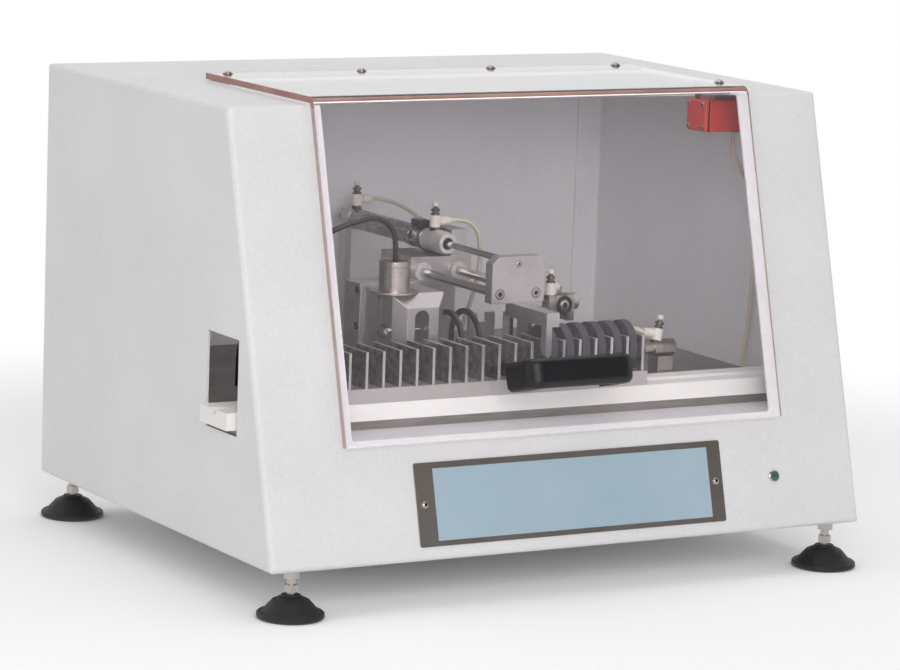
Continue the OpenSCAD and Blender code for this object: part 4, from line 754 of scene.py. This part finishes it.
# Floor: paper that keeps the shadow near the object and fades to white
floor = {"size": 12.0, "colour": "#F7F7F7", "roughness": 0.9, "seenColour": 1.12, "fadeFrom": 0.62,
         "fadeTo": 1.15, "mirroredWhite": 0.7}
ground = bmesh.new()
bmesh.ops.create_grid(ground, x_segments=1, y_segments=1, size=floor["size"])
groundMesh = bpy.data.meshes.new("floor")
ground.to_mesh(groundMesh)
ground.free()
groundPiece = bpy.data.objects.new("floor", groundMesh)
bpy.context.scene.collection.objects.link(groundPiece)
paper = bpy.data.materials.new("paperSweep")
paper.use_nodes = True
paperTree = paper.node_tree
paperShader = paperTree.nodes["Principled BSDF"]
paperShader.inputs["Base Color"].default_value = toLinear(floor["colour"])
paperShader.inputs["Roughness"].default_value = floor["roughness"]
path = addNode(paperTree, "ShaderNodeLightPath")
where = addNode(paperTree, "ShaderNodeTexCoord")
reach = addNode(paperTree, "ShaderNodeVectorMath", {"operation": "LENGTH"}, {0: where.outputs["Object"]})
fade = addNode(paperTree, "ShaderNodeMapRange", {"interpolation_type": "SMOOTHSTEP",
               "From Min": floor["fadeFrom"], "From Max": floor["fadeTo"]}, {"Value": reach.outputs["Value"]})
seenPaper = addNode(paperTree, "ShaderNodeBsdfDiffuse", {"Color": [floor["seenColour"]] * 3 + [1]})
white = addNode(paperTree, "ShaderNodeEmission", {"Color": (1, 1, 1, 1), "Strength": 1.0})
nearAndFar = addNode(paperTree, "ShaderNodeMixShader", links={0: fade.outputs["Result"],
                     1: seenPaper.outputs["BSDF"], 2: white.outputs["Emission"]})
cameraMix = addNode(paperTree, "ShaderNodeMixShader", links={0: path.outputs["Is Camera Ray"],
                    1: paperShader.outputs["BSDF"], 2: nearAndFar.outputs["Shader"]})
mirrored = addNode(paperTree, "ShaderNodeMath", {"operation": "MAXIMUM"},
                   {0: path.outputs["Is Glossy Ray"], 1: path.outputs["Is Transmission Ray"]})
mirroredShare = addNode(paperTree, "ShaderNodeMath", {"operation": "MULTIPLY", 1: floor["mirroredWhite"]},
                        {0: mirrored.outputs[0]})
paperMix = addNode(paperTree, "ShaderNodeMixShader", links={0: mirroredShare.outputs[0],
                   1: cameraMix.outputs["Shader"], 2: white.outputs["Emission"]})
paperTree.links.new(paperMix.outputs["Shader"], paperTree.nodes["Material Output"].inputs["Surface"])
groundMesh.materials.append(paper)

# Studio: an even room, white where it is seen, and darker in front where it is only mirrored
studio = {"ambient": 0.5, "seen": 1.0, "mirroredFront": 0.22, "mirroredBack": 1.0}
world = bpy.data.worlds.new("studio")
world.use_nodes = True
bpy.context.scene.world = world
worldTree = world.node_tree
background = worldTree.nodes["Background"]
background.inputs["Color"].default_value = toLinear("#FFFFFF")
path = addNode(worldTree, "ShaderNodeLightPath")
seen = addNode(worldTree, "ShaderNodeMath", {"operation": "MAXIMUM"},
               {0: path.outputs["Is Camera Ray"], 1: path.outputs["Is Transmission Ray"]})
room = addNode(worldTree, "ShaderNodeTexCoord")
heading = addNode(worldTree, "ShaderNodeSeparateXYZ", links={0: room.outputs["Generated"]})
toBack = addNode(worldTree, "ShaderNodeMapRange", {"interpolation_type": "SMOOTHSTEP", "From Min": -0.5,
                 "From Max": 0.3, "To Min": studio["mirroredFront"], "To Max": studio["mirroredBack"]},
                 {"Value": heading.outputs["Y"]})
unseen = addNode(worldTree, "ShaderNodeMix", {2: studio["ambient"]}, {0: path.outputs["Is Glossy Ray"],
                 3: toBack.outputs["Result"]})
strength = addNode(worldTree, "ShaderNodeMix", {3: studio["seen"]},
                   {0: seen.outputs[0], 2: unseen.outputs[0]})
worldTree.links.new(strength.outputs[0], background.inputs["Strength"])

# Lamps: a key from the front left, a broad one above and a weak fill, with place, size and watts
lamps = {
    "keySoftbox": ((-1.15, -2.75, 1.3), 1.5, 34),
    "topSoftbox": ((0.3, 0.3, 2.6), 2.0, 14),
    "leftFill": ((-2.8, -0.2, 1.1), 1.5, 5),
}
aim = Vector((0, 0, 0.2))
for name, (spot, size, watts) in lamps.items():
    light = bpy.data.lights.new(name, "AREA")
    light.size = size
    light.energy = watts
    lamp = bpy.data.objects.new(name, light)
    lamp.location = spot
    lamp.rotation_euler = (aim - Vector(spot)).to_track_quat("-Z", "Y").to_euler()
    bpy.context.scene.collection.objects.link(lamp)

# Camera, as the photograph was taken
view = {"azimuth": -30.31, "elevation": 9.39, "roll": 2.05, "distance": 3.701,
        "target": (-0.004, -0.007, 0.193), "lens": 162.7, "sensor": 36}
azimuth, elevation, roll = (math.radians(view[k]) for k in ("azimuth", "elevation", "roll"))
back = Vector((math.sin(azimuth) * math.cos(elevation), -math.cos(azimuth) * math.cos(elevation),
               math.sin(elevation)))
levelRight = (-back).cross(Vector((0, 0, 1))).normalized()
levelUp = levelRight.cross(-back)
right = math.cos(roll) * levelRight + math.sin(roll) * levelUp
up = -math.sin(roll) * levelRight + math.cos(roll) * levelUp
eye = Vector(view["target"]) + back * view["distance"]
lens = bpy.data.cameras.new("camera")
lens.sensor_width = view["sensor"]
lens.lens = view["lens"]
camera = bpy.data.objects.new("camera", lens)
camera.matrix_world = Matrix(((right.x, up.x, back.x, eye.x), (right.y, up.y, back.y, eye.y),
                              (right.z, up.z, back.z, eye.z), (0, 0, 0, 1)))
bpy.context.scene.collection.objects.link(camera)
bpy.context.scene.camera = camera
bpy.context.scene.view_settings.view_transform = "Standard"
print("stage made")
